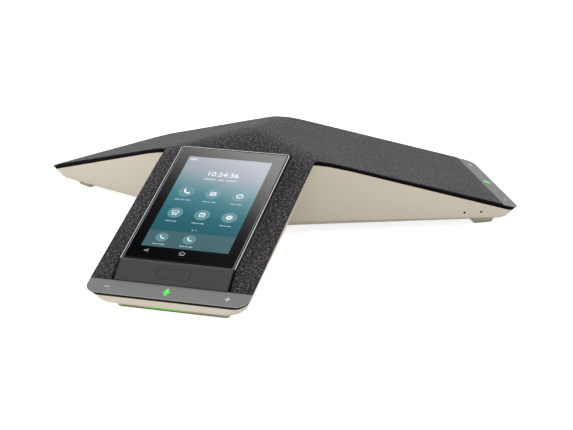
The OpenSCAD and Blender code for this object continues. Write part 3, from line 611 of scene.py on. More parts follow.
# The shell's beige made darker for the feet under the arms: painted shade.
FOOT_BEIGE_PAINTED_SHADE = Moulded("foot_beige", srgb(176, 166, 146), 0.6, 0.03)
SOLE_RUBBER = Moulded("sole_rubber", srgb(66, 62, 56), 0.85, 0.08,
                      grain_scale=1600.0, grain_depth=0.00006, specular=0.2)
BOARD_GREEN = Laminate("board_green", srgb(18, 74, 42), srgb(34, 104, 60), srgb(190, 188, 180))
RIBBON_FILM = Moulded("ribbon_film", srgb(196, 196, 200), 0.35, 0.06)
PANEL_BACK = Moulded("panel_back", srgb(150, 152, 156), 0.4, metallic=0.6)
PORT_METAL = Moulded("port_metal", srgb(176, 177, 180), 0.28, metallic=1.0)
JACK_BLACK = Moulded("jack_black", srgb(30, 30, 32), 0.4)
BASKET_STEEL = Moulded("basket_steel", srgb(52, 52, 55), metallic=0.3)
MAGNET_FERRITE = Moulded("magnet_ferrite", srgb(66, 66, 68), 0.6, 0.15, mottle_scale=120.0)
CONE_PAPER = Moulded("cone_paper", srgb(38, 37, 38), 0.85, 0.25, mottle_scale=240.0, grain_depth=0.00008)
COIL_COPPER = Moulded("coil_copper", srgb(184, 104, 58), 0.3, metallic=1.0)
SURROUND_RUBBER = Moulded("surround_rubber", srgb(24, 24, 25), 0.6)
SCREW_STEEL = Moulded("screw_steel", srgb(150, 151, 155), 0.32, metallic=1.0)

NODE_FINISHES: dict[str, object] = {start: finish for finish, starts in (
    (HOUSING_BEIGE, "base_housing"), (FRAME_BLACK, "top_frame fabric_cover speaker_chamber"),
    (BAR_GREY, "touch_bar"), (SOLE_RUBBER, "foot_sole"), (FOOT_BEIGE_PAINTED_SHADE, "foot light_guide"),
    (BOARD_GREEN, "touch_board led_board mic_board display_board key_switch main_board"),
    (RIBBON_FILM, "arm_ribbon"), (BEZEL_BLACK, "display_frame"), (GLASS_BLACK, "display_glass"),
    (PANEL_BACK, "lcd_panel"), (CHIN_GREY, "chin_cover"), (KEY_GREY, "chin_key"),
    (PORT_METAL, "shield_can ethernet_jack usb"), (JACK_BLACK, "mic_jack"),
    (BASKET_STEEL, "speaker_basket"), (MAGNET_FERRITE, "speaker_magnet"), (CONE_PAPER, "speaker_cone"),
    (COIL_COPPER, "voice_coil"), (SURROUND_RUBBER, "speaker_surround speaker_gasket"),
    (SCREW_STEEL, "housing_screws board_screws foot_screws speaker_screws"),
) for start in starts.split()}


# ---------------------------------------------------------------- mesh tools


def place_object(name: str, data: object, at: Matrix | None = None) -> Piece:
    """Puts an object into the scene, at a place if one is given."""
    piece = bpy.data.objects.new(name, data)
    bpy.context.scene.collection.objects.link(piece)
    if at is not None:
        piece.matrix_world = at
        bpy.context.view_layer.update()
    return piece


def place_mesh(name: str, bm: Mesh, materials: Sequence[Material],
               at: Matrix | None = None) -> Piece:
    """Turns a finished bmesh into an object of the scene.

    Args:
        name: The piece's name.
        bm: The mesh, which is freed.
        materials: Its materials, in slot order.
        at: The piece's place, if its mesh isn't in the phone's own frame.

    Returns:
        The new object.
    """
    mesh = bpy.data.meshes.new(name)
    bm.to_mesh(mesh)
    bm.free()
    for material in materials:
        mesh.materials.append(material)
    return place_object(name, mesh, at)


def join_body(piece: Piece, slot: str, *stands_for: str, body: str = BODY) -> None:
    """Attaches a piece to its body, hides the nodes that it stands for, and reports it."""
    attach(piece, body)
    if stands_for:
        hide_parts(*stands_for)
    LOG.info("piece %s rides on %s with %d faces", piece.name, body, len(piece.data.polygons))


def shade_by_angle(piece: Piece, degrees: float = 32.0) -> None:
    """Smooths a piece but keeps the edges that are sharper than an angle."""
    piece.data.polygons.foreach_set("use_smooth", [True] * len(piece.data.polygons))
    piece.data.set_sharp_from_angle(angle=math.radians(degrees))


@dataclass(frozen=True)
class Softening:
    """How the sharp edges of a node's copy are rounded."""

    width: float
    edge_slot: int = -1
    chosen: Callable[[bmesh.types.BMEdge], bool] = lambda edge: True
    sharper_than: float = math.radians(28.0)
    flatter_than: float = math.radians(0.6)

    def copy(self, node: str, name: str, *materials: Material) -> Piece:
        """Copies a node's mesh, joins its flat facets and rounds its sharp edges.

        Args:
            node: The CAD node.
            name: The new piece's name.
            *materials: Its materials, in slot order.

        Returns:
            The new piece, in the node's place.
        """
        bm = bmesh.new()
        bm.from_mesh(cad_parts[node].data)
        bmesh.ops.remove_doubles(bm, verts=bm.verts, dist=SAME_PLACE)
        bmesh.ops.dissolve_limit(bm, angle_limit=self.flatter_than, verts=bm.verts, edges=bm.edges)
        for face in bm.faces:
            face.material_index = 0
        edges = [edge for edge in bm.edges
                 if len(edge.link_faces) == 2 and edge.calc_face_angle(0.0) > self.sharper_than
                 and self.chosen(edge)]
        bmesh.ops.bevel(bm, geom=edges, offset=self.width, offset_type="OFFSET", segments=2, profile=0.5,
                        affect="EDGES", clamp_overlap=True, material=self.edge_slot)
        piece = place_mesh(name, bm, materials)
        shade_by_angle(piece)
        piece.modifiers.new("even_shading", "WEIGHTED_NORMAL").keep_sharp = True
        return piece


class FlatForms:
    """Collects flat forms and raises them into one thin piece; x is down the plane and y across it."""

    def __init__(self) -> None:
        """Starts empty, drawing in metres about the plane's own origin."""
        self.bm = bmesh.new()
        self.at()

    def at(self, x: float = 0.0, y: float = 0.0, unit: float = 1.0) -> "FlatForms":
        """Draws about a point in metres from now on, in a unit of its own."""
        self.x, self.y, self.unit = x, y, unit
        return self

    def polygon(self, points: Iterable[Point]) -> None:
        """Adds a filled outline."""
        self.bm.faces.new([self.bm.verts.new((self.x + x * self.unit, self.y + y * self.unit, 0.0))
                           for x, y in points])

    def slab(self, x: float, y: float, long: float, wide: float, turn: float = 0.0,
             corner: float = 0.0) -> None:
        """Adds a rectangle with rounded corners; turn is in degrees."""
        corner = min(corner, 0.499 * long, 0.499 * wide)
        points = []
        for number, (sx, sy) in enumerate(((1, 1), (-1, 1), (-1, -1), (1, -1))):
            for step in range(5 if corner else 1):
                angle = math.radians(90 * number + 22.5 * step)
                points.append((sx * (long / 2 - corner) + corner * math.cos(angle),
                               sy * (wide / 2 - corner) + corner * math.sin(angle)))
        cos, sin = math.cos(math.radians(turn)), math.sin(math.radians(turn))
        self.polygon((x + cos * px - sin * py, y + sin * px + cos * py) for px, py in points)

    def disc(self, x: float, y: float, radius: float, count: int = 14) -> None:
        """Adds a filled circle."""
        angles = (math.tau * i / count for i in range(count))
        self.polygon((x + radius * math.cos(angle), y + radius * math.sin(angle)) for angle in angles)

    def arc(self, x: float, y: float, inner: float, outer: float, start: float = 0.0,
            end: float = 360.0, count: int = 40) -> None:
        """Adds a ring, or part of one, between two radii and two angles in degrees."""
        angles = [math.radians(start + (end - start) * i / count) for i in range(count + 1)]
        for first, second in pairwise(angles):
            self.polygon((x + radius * math.cos(angle), y + radius * math.sin(angle)) for radius, angle in (
                (inner, first), (outer, first), (outer, second), (inner, second)))

    def line(self, start: Point, end: Point, wide: float) -> None:
        """Adds a straight stroke with rounded ends."""
        dx, dy = end[0] - start[0], end[1] - start[1]
        self.slab((start[0] + end[0]) / 2, (start[1] + end[1]) / 2, math.hypot(dx, dy) + wide, wide,
                  math.degrees(math.atan2(dy, dx)), wide / 2)

    def draw(self, strokes: Iterable[tuple]) -> None:
        """Adds strokes, each given as its kind and its numbers."""
        kinds = {"slab": self.slab, "disc": self.disc, "arc": self.arc, "line": self.line}
        for kind, *numbers in strokes:
            kinds[kind](*numbers)

    def raise_into(self, name: str, material: Material, at: Matrix,
                   layer: Layer) -> Piece:
        """Thickens the forms and places them on a plane.

        Args:
            name: The piece's name.
            material: Its material.
            at: The plane's frame.
            layer: How far the forms stand above the plane.

        Returns:
            The new piece.
        """
        lifted = bmesh.ops.extrude_face_region(self.bm, geom=self.bm.faces[:])
        tops = [part for part in lifted["geom"] if isinstance(part, bmesh.types.BMVert)]
        bmesh.ops.translate(self.bm, verts=tops, vec=(0, 0, layer.value))
        bmesh.ops.recalc_face_normals(self.bm, faces=self.bm.faces)
        return place_mesh(name, self.bm, [material], at)


def outlined(points: Sequence[Point], wide: float) -> list[tuple]:
    """Strokes around a closed outline."""
    return [("line", start, end, wide) for start, end in zip(points, [*points[1:], points[0]])]


# Generic signs in strokes about their middles, in millimetres
MICROPHONE = (("slab", -1.1, 0, 4.2, 2.3, 0, 1.15), ("arc", -0.4, 0, 1.8, 2.4, -90, 90, 20),
              ("slab", 2.45, 0, 1.1, 0.6), ("slab", 3.2, 0, 0.6, 2.6, 0, 0.25))
HANDSET = (("arc", -1.5, 1.5, 2.5, 3.7, -80, -10, 14), ("slab", -1.9, -1.5, 2.0, 1.4, 20, 0.4),
           ("slab", 1.5, 1.9, 1.4, 2.0, 20, 0.4))
CONTACT_CARD = (("slab", 0, -1.9, 4.2, 0.7, 0, 0.2), ("slab", 0, 1.3, 4.2, 0.7, 0, 0.2),
                ("slab", -1.8, -0.3, 0.6, 2.6), ("slab", 1.8, -0.3, 0.6, 2.6), ("disc", -0.5, -0.3, 0.55, 16),
                ("slab", 0.7, -0.3, 0.7, 1.7, 0, 0.3), ("slab", 0, 2.3, 3.2, 0.6, 0, 0.2))
CLOCK = (("arc", 0, 0, 1.9, 2.6), ("line", (0, 0), (-1.0, 0.6), 0.5), ("line", (0, 0), (0.8, -0.5), 0.5))
MEETING = (("slab", -0.8, -2.2, 2.8, 0.6), ("slab", -0.8, 2.2, 2.8, 0.6), ("slab", -2.0, 0, 0.6, 4.0),
           ("slab", 0.5, 0, 0.6, 4.0), ("disc", 1.5, -1.1, 0.5), ("slab", 2.4, -1.1, 0.7, 1.5, 0, 0.3),
           ("disc", 1.5, 1.1, 0.5), ("slab", 2.4, 1.1, 0.7, 1.5, 0, 0.3))
CALENDAR = (("slab", 0.2, -1.9, 3.8, 0.6), ("slab", 0.2, 1.9, 3.8, 0.6), ("slab", -1.6, 0, 1.1, 3.2),
            ("slab", 1.9, 0, 0.5, 3.2), ("slab", -2.5, -1.1, 0.5, 0.6), ("slab", -2.5, 1.1, 0.5, 0.6),
            ("line", (0.4, -0.8), (1.0, -0.2), 0.4), ("line", (1.0, -0.2), (-0.1, 0.9), 0.4))
GEAR = (("arc", 0, 0, 0.8, 1.8), *(
    ("slab", 2.15 * math.cos(angle), 2.15 * math.sin(angle), 0.75, 0.9, math.degrees(angle))
    for angle in (math.tau * tooth / 8 for tooth in range(8))))
BACK = outlined(((0, -1.8), (-1.4, 1.1), (1.4, 1.1)), 0.24)
HOUSE = (*outlined(((-2.0, 0), (-0.2, 2.3), (-0.2, 1.6), (1.7, 1.6), (1.7, -1.6), (-0.2, -1.6),
                    (-0.2, -2.3)), 0.24), ("disc", 0.9, 0, 0.4))
PAGE_DOTS = (("disc", 0, -1.2, 0.6, 18), ("disc", 0, 1.2, 0.4, 18))
TAG = (("slab", 14.1, -27.2, 2.4, 5.2, 0, 0.4),)
HALO = (("slab", 0, 0, 7.4, 5.6, 0, 2.6),)


# ---------------------------------------------------------------- the phone's pieces


@dataclass
class SubAssembly:
    """Some pieces of the phone that belong together; the fields hold their sizes in metres."""

    plan: Plan
    palette: Palette

    def soften(self, node: str, name: str, softening: Softening, *finishes: object) -> Piece:
        """Copies a node with its edges rounded and in the given finishes."""
        return softening.copy(node, name, *map(self.palette.take, finishes))

    def dress(self, node: str, name: str, slot: str, width: float, finish: object) -> None:
        """Stands a softened copy in one finish in a node's place."""
        join_body(self.soften(node, name, Softening(width), finish), slot, node)

    def lay(self, forms: FlatForms, name: str, finish: object, at: Matrix, layer: Layer, slot: str) -> None:
        """Raises flat forms above a plane and joins them to the phone."""
        join_body(forms.raise_into(name, self.palette.take(finish), at, layer), slot)


@dataclass
class RoofCloth(SubAssembly):
    """The stretched cloth over the roof; its opening's edge is drawn up the sides of the screen."""

    thick: float = 0.00075
    hem: float = 0.0008
    hem_shade_share: float = 0.4
    lean: float = 0.5
    round_r: float = 0.0006
    opening_half: float = 0.0429
    skirt_h: float = 0.0055
    skirt_foot: float = 0.0026
    foot_share: float = 0.3
    upper_rows: int = 12
    lower_rows: int = 22
    row_growth: float = 1.25
    inner_mm: tuple[float, ...] = (0.0, 2.5, 5.5, 9.0, 13.0, 18.0, 24.0, 30.0, 36.0, 42.9)
    outer_mm: tuple[float, ...] = (43.3, 43.9, 44.6, 45.5, 48.0, 51.5, 55.0)
    foot_mm: tuple[float, ...] = (2.4, 1.5, 0.8, 0.3)

    @property
    def opening_u(self) -> float:
        """Distance down the slope to the opening's upper edge."""
        beside = self.opening_half - self.plan.glass_w / 2 - self.plan.bezel
        return self.plan.glass_u + self.plan.top_shift - self.plan.bezel - beside

    def half_profile(self) -> list[tuple[float, float, bool]]:
        """Columns from the middle to the edge: distance across, depth, and if it is in the opening."""
        half = self.plan.arm_w / 2
        columns = [(value * MM, 0.0) for value in self.inner_mm + self.outer_mm]
        for turn in map(math.radians, (0, 30, 60, 90)):
            columns.append((half - self.round_r + self.round_r * math.sin(turn),
                            self.round_r * (1 - math.cos(turn))))
        columns.append((half - self.lean * (self.hem - self.round_r), self.hem))
        return [(across, depth, across <= self.opening_half + SAME_PLACE) for across, depth in columns]

    def row_places(self, across: float) -> list[float]:
        """Distances from the hub for one column, from the ridge down to the touch bar."""
        cos = math.cos(self.plan.slope)
        ridge = abs(across) / math.sqrt(3)
        opening = self.opening_u * cos
        end = (self.plan.bar_u - self.plan.trim_gap) * cos
        foot = [opening - value * MM for value in self.foot_mm]
        plain = self.upper_rows - len(foot)
        upper = [ridge + (foot[0] - ridge) * i / plain for i in range(plain)] + foot
        return upper + [opening + (end - opening) * (i / self.lower_rows) ** self.row_growth
                        for i in range(self.lower_rows + 1)]

    def rise(self, down: float) -> float:
        """Height of the opening's edge above the roof: level beside the screen, falling beside the ramp."""
        left = self.plan.bar_u - self.plan.trim_gap - down
        return self.skirt_h * min(1.0, max(0.0, left / self.plan.chin_l))

    def lift(self, arm: Arm, down: float, across: float) -> float:
        """How far the front arm's cloth has left the roof where it curves up to the opening."""
        if arm is not Arm.FRONT:
            return 0.0
        beyond = math.hypot(max(0.0, abs(across) - self.opening_half), max(0.0, self.opening_u - down))
        share = max(0.0, 1 - beyond / self.skirt_foot)
        return self.foot_share * self.rise(down) * share ** 2

    def build(self) -> None:
        bm = bmesh.new()
        lay = bm.loops.layers.uv.new(LAY)
        for arm in Arm:
            self.cover(arm, bm, lay)
        loose = [vert for vert in bm.verts if not vert.link_faces]
        bmesh.ops.delete(bm, geom=loose, context="VERTS")
        bmesh.ops.remove_doubles(bm, verts=bm.verts, dist=2 * SAME_PLACE)
        bmesh.ops.recalc_face_normals(bm, faces=bm.faces)
        flat_area = sum(face.calc_area() for face in bm.faces)
        piece = place_mesh("roof_cloth", bm, [*map(self.palette.take, (CLOTH_CHARCOAL, CLOTH_HEM_PAINTED_SHADE))])
        thicken = piece.modifiers.new("cloth_thickness", "SOLIDIFY")
        thicken.thickness = self.thick
        thicken.offset = -1.0
        # The cloth's cut edges take the hem cloth, which is painted shade.
        thicken.material_offset_rim = 1
        join_body(piece, "cover_cloth", "fabric_cover")

    def cover(self, arm: Arm, bm: Mesh, lay: object) -> None:
        """Adds the cloth of one arm.

        Args:
            arm: The arm.
            bm: The cloth's mesh.
            lay: The layer of places on the cut cloth.
        """
        sin, cos = math.sin(self.plan.slope), math.cos(self.plan.slope)
        side = self.half_profile()
        columns = [(-across, depth, inside) for across, depth, inside in reversed(side[1:])] + side
        turn = self.plan.hub(arm)
        grid, spots = [], {}
        for across, depth, _ in columns:
            grid.append([])
            for along in self.row_places(across):
                away = self.lift(arm, along / cos, across) - depth
                height = self.plan.roof_height(along - depth * sin, across) + away * cos
                vert = bm.verts.new(turn @ Vector((along + away * sin, across, height)))
                spots[vert] = (along / cos, across)
                grid[-1].append(vert)
        for (near, (_, depth_a, in_a)), (far, (_, depth_b, in_b)) in pairwise(zip(grid, columns)):
            over_opening = in_a and in_b and arm is Arm.FRONT
            for row in range(self.upper_rows if over_opening else len(near) - 1):
                corners = (near[row], near[row + 1], far[row + 1], far[row])
                face = self.quad(bm, lay, corners, [spots[corner] for corner in corners])
                # Faces this far into the round-over take the hem cloth, which is painted shade.
                face.material_index = int(max(depth_a, depth_b) > self.hem_shade_share * self.round_r)
        if arm is Arm.FRONT:
            self.turn_up(bm, lay, grid, spots, [inside for _, _, inside in columns])

    @staticmethod
    def quad(bm: Mesh, lay: object, corners: Sequence[bmesh.types.BMVert],
             spots: Sequence[Point]) -> bmesh.types.BMFace:
        """Adds one smooth face with its places on the cloth as it was cut."""
        face = bm.faces.new(corners)
        face.smooth = True
        for loop, spot in zip(face.loops, spots):
            loop[lay].uv = spot
        return face

    def turn_up(self, bm: Mesh, lay: object, grid: list[list[bmesh.types.BMVert]],
                spots: dict[bmesh.types.BMVert, Point], inside: list[bool]) -> None:
        """Draws the opening's edge up the sides of the screen.

        Args:
            bm: The cloth's mesh.
            lay: The layer of places on the cut cloth.
            grid: The front arm's points by column and row.
            spots: Where each point lies on the cut cloth.
            inside: Which columns cross the opening.
        """
        first, last = inside.index(True), len(inside) - 1 - inside[::-1].index(True)
        edge = grid[first][:self.upper_rows - 1:-1]
        edge += [grid[column][self.upper_rows] for column in range(first + 1, last)]
        edge += grid[last][self.upper_rows:]
        normal = self.plan.roof(Arm.FRONT).col[2].xyz
        rungs = []
        for vert in edge:
            climb = self.rise(spots[vert][0]) - self.lift(Arm.FRONT, *spots[vert])
            rungs.append((vert, bm.verts.new(vert.co + climb * normal), climb))
        for (low_a, top_a, up_a), (low_b, top_b, up_b) in pairwise(rungs):
            (down_a, across_a), (down_b, across_b) = spots[low_a], spots[low_b]
            if abs(down_a - down_b) > abs(across_a - across_b):
                side = math.copysign(1.0, across_a)
                tops = [(down_a, across_a - side * up_a), (down_b, across_b - side * up_b)]
            else:
                tops = [(down_a + up_a, across_a), (down_b + up_b, across_b)]
            self.quad(bm, lay, (top_a, top_b, low_b, low_a), [*tops, spots[low_b], spots[low_a]])


@dataclass
class Seam:
    """The joint between the black frame and the shell, set as low as on the real phone."""

    plan: Plan
    depth: float = 0.003
    reach: float = 0.00006
    drop: float = 0.0008

    def lower(self, piece: Piece) -> None:
        """Moves the points of a piece that lie on the joint a little down."""
        planes = [self.plan.roof(arm) for arm in Arm]
        inverses = [plane.inverted() for plane in planes]
        for vert in piece.data.vertices:
            for plane, inverse in zip(planes, inverses):
                spot = inverse @ vert.co
                if abs(spot.z + self.depth) < self.reach and spot.x > abs(spot.y) / math.sqrt(3):
                    vert.co -= self.drop * plane.col[2].xyz
                    break
        piece.data.update()


@dataclass
class ClothFrame(SubAssembly):
    """The black frame under the cloth, whose outer face shows as the dark line below it."""

    def build(self) -> None:
        """Makes the frame's piece."""
        as_it_is = Softening(0.0002, chosen=lambda edge: False)
        piece = self.soften("top_frame", "cloth_frame", as_it_is, FRAME_BLACK)
        Seam(self.plan).lower(piece)
        join_body(piece, "frame_plastic", "top_frame")


@dataclass
class Housing(SubAssembly):
    """The lower shell: the lip along its upper edge is painted paler as a highlight, and its sound holes hold
    painted shade.
    """

    lip_depth: float = 0.0031
    lip_r: float = 0.00035
    lip_inset: Point = (0.0014, 0.0013)
    lip_start: float = 0.03
    hole_reach: float = 0.011
    hole_facet: float = 2.0e-6
    hole_turn: float = 0.35
    planes: list[Matrix] = field(default_factory=list)

    def build(self) -> None:
        """Makes the shell's piece."""
        self.planes = [self.plan.roof(arm).inverted() for arm in Arm]
        # The rounded outer edge of the rim takes slot 1, the lip painted paler as a highlight.
        softening = Softening(self.lip_r, edge_slot=1, chosen=self.is_outline)
        piece = self.soften("base_housing", "housing_shell", softening, HOUSING_BEIGE, HOUSING_LIP_PAINTED_HIGHLIGHT, SOUND_HOLE_PAINTED_SHADE)
        self.paint_hole_shade_and_highlight(piece)
        Seam(self.plan).lower(piece)
        join_body(piece, "housing_plastic", "base_housing")

    def is_outline(self, edge: bmesh.types.BMEdge) -> bool:
        """Picks the outer edges of the rim that the black frame stands on."""
        end, half = self.plan.tip_u - self.lip_inset[0], self.plan.arm_w / 2 - self.lip_inset[1]
        return any(all(spot.z > -self.lip_depth and spot.x > self.lip_start
                       and (abs(spot.y) > half or spot.x > end)
                       for spot in (plane @ vert.co for vert in edge.verts)) for plane in self.planes)

    def paint_hole_shade_and_highlight(self, piece: Piece) -> None:
        """Paints shade on the walls of each arm's microphone holes and a highlight on their other small
        facets, by slot.
        """
        for arm in Arm:
            low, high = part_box(f"mic_board_{arm.label}")
            middle = (Vector(low) + Vector(high)) / 2
            near = [face for face in piece.data.polygons if (face.center - middle).length < self.hole_reach]
            wall = max(near, key=lambda face: face.area, default=None)
            for face in near:
                if face.area < self.hole_facet:
                    # Facets across the wall take painted shade, and the rest take the painted highlight.
                    face.material_index = 2 if abs(face.normal.dot(wall.normal)) < self.hole_turn else 1


@dataclass
class TouchBars(SubAssembly):
    """The bar at the end of each arm, with its minus, microphone and plus."""

    sign_out: float = 43.0
    sign_l: float = 4.0
    stroke: float = 0.6
    sink: float = 0.0004
    top_depth: float = 0.0005
    side_turn: float = 0.35
    pale: LitSign = LitSign("sign_pale", grey(226), strength=0.75, roughness=0.4)
    green: LitSign = LitSign("sign_green", srgb(86, 240, 88), roughness=0.4)
    halo: LitSign = LitSign("sign_halo", srgb(112, 158, 110), strength=0.5, roughness=0.42)

    def build(self) -> None:
        """Makes every bar and its signs."""
        middle = (self.plan.bar_u + self.plan.tip_u) / 2
        for arm in Arm:
            node = f"touch_bar_{arm.label}"
            # The bevel faces take slot 1, the painted highlight.
            softening = Softening(0.00016, edge_slot=1)
            bar = self.soften(node, f"bar_{arm.label}", softening, BAR_GREY, BAR_EDGE_PAINTED_HIGHLIGHT, BAR_SIDE_PAINTED_SHADE)
            self.sink_top(arm, bar)
            join_body(bar, "bar_plastic", node)
            at = self.plan.roof(arm) @ Matrix.Translation((middle, 0, -self.sink))
            self.mark(f"volume_signs_{arm.label}", self.volume_strokes(), self.pale, at, Layer.PRINT)
            at = at @ Matrix.Translation((-0.6 * MM, -0.3 * MM, 0))
            self.mark(f"microphone_halo_{arm.label}", HALO, self.halo, at, Layer.PICTURE)
            self.mark(f"microphone_sign_{arm.label}", MICROPHONE, self.green, at, Layer.PRINT)

    def sink_top(self, arm: Arm, bar: Piece) -> None:
        """Sets the bar's top a little below the cloth beside it, and paints shade on its sides."""
        plane = self.plan.roof(arm)
        inverse, normal = plane.inverted(), plane.col[2].xyz
        for vert in bar.data.vertices:
            if (inverse @ vert.co).z > -self.top_depth:
                vert.co -= self.sink * normal
        for face in bar.data.polygons:
            # Faces that turn away from the roof take slot 2, the painted shade.
            if face.normal.dot(normal) < self.side_turn:
                face.material_index = 2

    def volume_strokes(self) -> list[tuple]:
        """The minus and the plus in millimetres."""
        out, wide, reach = self.sign_out, self.stroke, self.sign_l / 2
        bars = [("slab", 0, side * out, wide, self.sign_l, 0, wide / 2) for side in (-1, 1)]
        return bars + [("slab", end * (reach + wide / 2) / 2, out, reach - wide / 2, wide, 0, wide / 3)
                       for end in (-1, 1)]

    def mark(self, name: str, strokes: Iterable[tuple], finish: LitSign, at: Matrix, layer: Layer) -> None:
        """Prints strokes on a bar."""
        forms = FlatForms()
        forms.at(unit=MM).draw(strokes)
        self.lay(forms, name, finish, at, layer, "bar_plastic")


@dataclass
class Screen(SubAssembly):
    """The raised screen: bezel, glass, and the lit picture with its signs."""

    top: float = 0.0108
    low: float = 0.1133
    half_w: float = 0.0316
    dock_top: float = 0.0958
    columns: tuple[float, ...] = (-0.020, 0.0, 0.020)
    rows: tuple[float, ...] = (0.0515, 0.0757)
    dock_row: float = 0.103
    label_drop: float = 0.0093
    label_mm: tuple[float, ...] = (12.0, 9.6, 8.4, 8.0, 9.0, 8.2, 8.8, 9.4)
    disc_r: float = 0.0054
    ring_w: float = 0.0004
    nav_row: float = 0.118
    back_column: float = -0.0259
    clock_row: float = 0.0296
    clock_size: float = 0.0071
    date_row: float = 0.0355
    page_row: float = 0.0928
    word_shares: tuple[float, ...] = (0.42, 0.2, 0.38)
    # Pale beads on the bezel's outer edge and on the glass's edge: painted highlights.
    beads: tuple[tuple, ...] = (("bezel_bead_painted_highlight", 0.00155, 0.0022, 0.00034, BEZEL_EDGE_PAINTED_HIGHLIGHT),
                                ("glass_bead_painted_highlight", 0.00008, 0.001, 0.00016, GLASS_EDGE_PAINTED_HIGHLIGHT))
    bead_past: float = 0.002
    sky: tuple[tuple[float, Colour], ...] = (
        (0.0, srgb(158, 163, 174)), (0.16, srgb(150, 158, 171)), (0.3, srgb(112, 146, 158)),
        (0.44, srgb(66, 126, 136)), (0.66, srgb(42, 104, 115)), (1.0, srgb(36, 86, 96)))
    white: LitSign = LitSign("sign_white", srgb(240, 244, 246), strength=0.9)
    dim_white: LitSign = LitSign("sign_dim_white", srgb(202, 206, 209), strength=0.8)
    soft_white: LitSign = LitSign("sign_soft_white", srgb(190, 208, 214), strength=0.8)
    veil: LitSign = LitSign("sign_veil", srgb(92, 142, 152), strength=0.85)
    veil_ring: LitSign = LitSign("sign_veil_ring", srgb(128, 168, 176), strength=0.85)
    dock: LitSign = LitSign("dock_band", srgb(66, 98, 105), strength=0.95)

    def build(self) -> None:
        """Makes the bezel, the glass and the picture."""
        for node, name, slot, width, finish in (
                ("display_frame", "screen_bezel", "bezel_plastic", 0.00015, BEZEL_BLACK),
                ("display_glass", "screen_glass", "screen_glass", 0.0002, GLASS_BLACK)):
            piece = self.soften(node, name, Softening(width), finish)
            self.shorten(piece)
            join_body(piece, slot, node)
        for bead in self.beads:
            self.trim(*bead)
        sky = LitPicture("screen_sky", self.sky, self.top, self.low)
        self.lit_field("screen_field", self.top, sky, Layer.PICTURE)
        self.lit_field("screen_dock", self.dock_top, self.dock, Layer.BAND)
        self.signs()
        self.clock()

    def shorten(self, piece: Piece, reach: float = 5 * MM) -> None:
        """Moves the upper end of a piece down to where the real screen ends."""
        plane = self.plan.screen()
        inverse = plane.inverted()
        for vert in piece.data.vertices:
            if (inverse @ vert.co).x < reach:
                vert.co += self.plan.top_shift * plane.col[0].xyz
        piece.data.update()

    def trim(self, name: str, out: float, corner: float, radius: float, finish: Moulded) -> None:
        """Lays a thin bead along the sides and the upper end of the screen; its pale finish is a painted
        highlight of the edge.

        Args:
            name: The piece's name.
            out: How far outside the glass its middle lies.
            corner: Radius of the bead's path at the corners.
            radius: Radius of the bead.
            finish: Its finish.
        """
        half = self.plan.glass_w / 2 + out
        path = [(self.plan.glass_l + self.bead_past, -half, -math.pi / 2)]
        for angle in map(math.radians, range(0, 91, 15)):
            path.append((self.plan.top_shift + corner - out - corner * math.sin(angle),
                         corner - half - corner * math.cos(angle), angle - math.pi / 2))
        path += [(down, -across, -heading) for down, across, heading in reversed(path)]
        bm = bmesh.new()
        rings = []
        for down, across, heading in path:
            aside = Vector((-math.cos(heading), math.sin(heading), 0))
            rings.append([bm.verts.new(Vector((down, across, radius * math.sin(turn) - 0.5 * radius))
                                       + radius * math.cos(turn) * aside)
                          for turn in map(math.radians, range(0, 181, 30))])
        for first, second in pairwise(rings):
            for near in range(len(first)):
                far = (near + 1) % len(first)
                bm.faces.new((first[near], second[near], second[far], first[far]))
        bm.faces.new(rings[0])
        bm.faces.new(rings[-1])
        bmesh.ops.recalc_face_normals(bm, faces=bm.faces)
        bead = place_mesh(name, bm, [self.palette.take(finish)], self.plan.screen())
        shade_by_angle(bead, 50)
        join_body(bead, "bezel_plastic")

    def flat(self, forms: FlatForms, name: str, finish: LitSign | LitPicture, layer: Layer) -> None:
        """Raises forms above the glass."""
        self.lay(forms, name, finish, self.plan.screen(), layer, "display_panel")

    def lit_field(self, name: str, top: float, finish: LitSign | LitPicture, layer: Layer) -> None:
        """Lights the picture's width from a height of its own down to its lower end."""
        forms = FlatForms()
        forms.slab((top + self.low) / 2, 0, self.low - top, 2 * self.half_w)
        self.flat(forms, name, finish, layer)

    def signs(self) -> None:
        """Makes the discs, their signs, their labels and the keys below the picture."""
        discs, rings, signs, labels, keys = (FlatForms() for _ in range(5))
        places = [(row, column, 1.0, 1.0) for row in self.rows for column in self.columns]
        places += [(self.dock_row, column, 0.82, 0.8) for column in self.columns[:2]]
        drawn = (HANDSET, CONTACT_CARD, CLOCK, MEETING, CALENDAR, GEAR, HANDSET, HANDSET)
        for (row, column, size, drop), sign, length in zip(places, drawn, self.label_mm):
            radius = size * self.disc_r
            discs.disc(row, column, radius, 40)
            rings.arc(row, column, radius - self.ring_w, radius)
            signs.at(row, column, MM if size == 1.0 else 0.72 * MM).draw(sign)
            self.word_bars(labels, row + drop * self.label_drop, column, length * MM, 0.75 * MM)
        self.word_bars(labels, self.date_row, 0.0, 25 * MM, 1.3 * MM)
        labels.at(self.page_row, unit=MM).draw(PAGE_DOTS)
        keys.at(unit=MM).draw(TAG)
        keys.at(self.nav_row, self.back_column, MM).draw(BACK)
        keys.at(self.nav_row, unit=MM).draw(HOUSE)
        self.flat(keys, "key_signs", self.dim_white, Layer.SIGN)
        self.flat(discs, "sign_discs", self.veil, Layer.DISC)
        self.flat(rings, "sign_rings", self.veil_ring, Layer.SIGN)
        self.flat(signs, "screen_signs", self.white, Layer.SIGN)
        self.flat(labels, "sign_labels", self.soft_white, Layer.SIGN)

    def word_bars(self, forms: FlatForms, row: float, column: float, length: float, tall: float) -> None:
        """Stands for a line of small print with blank bars of three lengths."""
        gap = 0.07 * length
        place = column - length / 2
        for share in self.word_shares:
            part = share * (length - 2 * gap)
            forms.slab(row, place + part / 2, tall, part, corner=0.3 * tall)
            place += part + gap

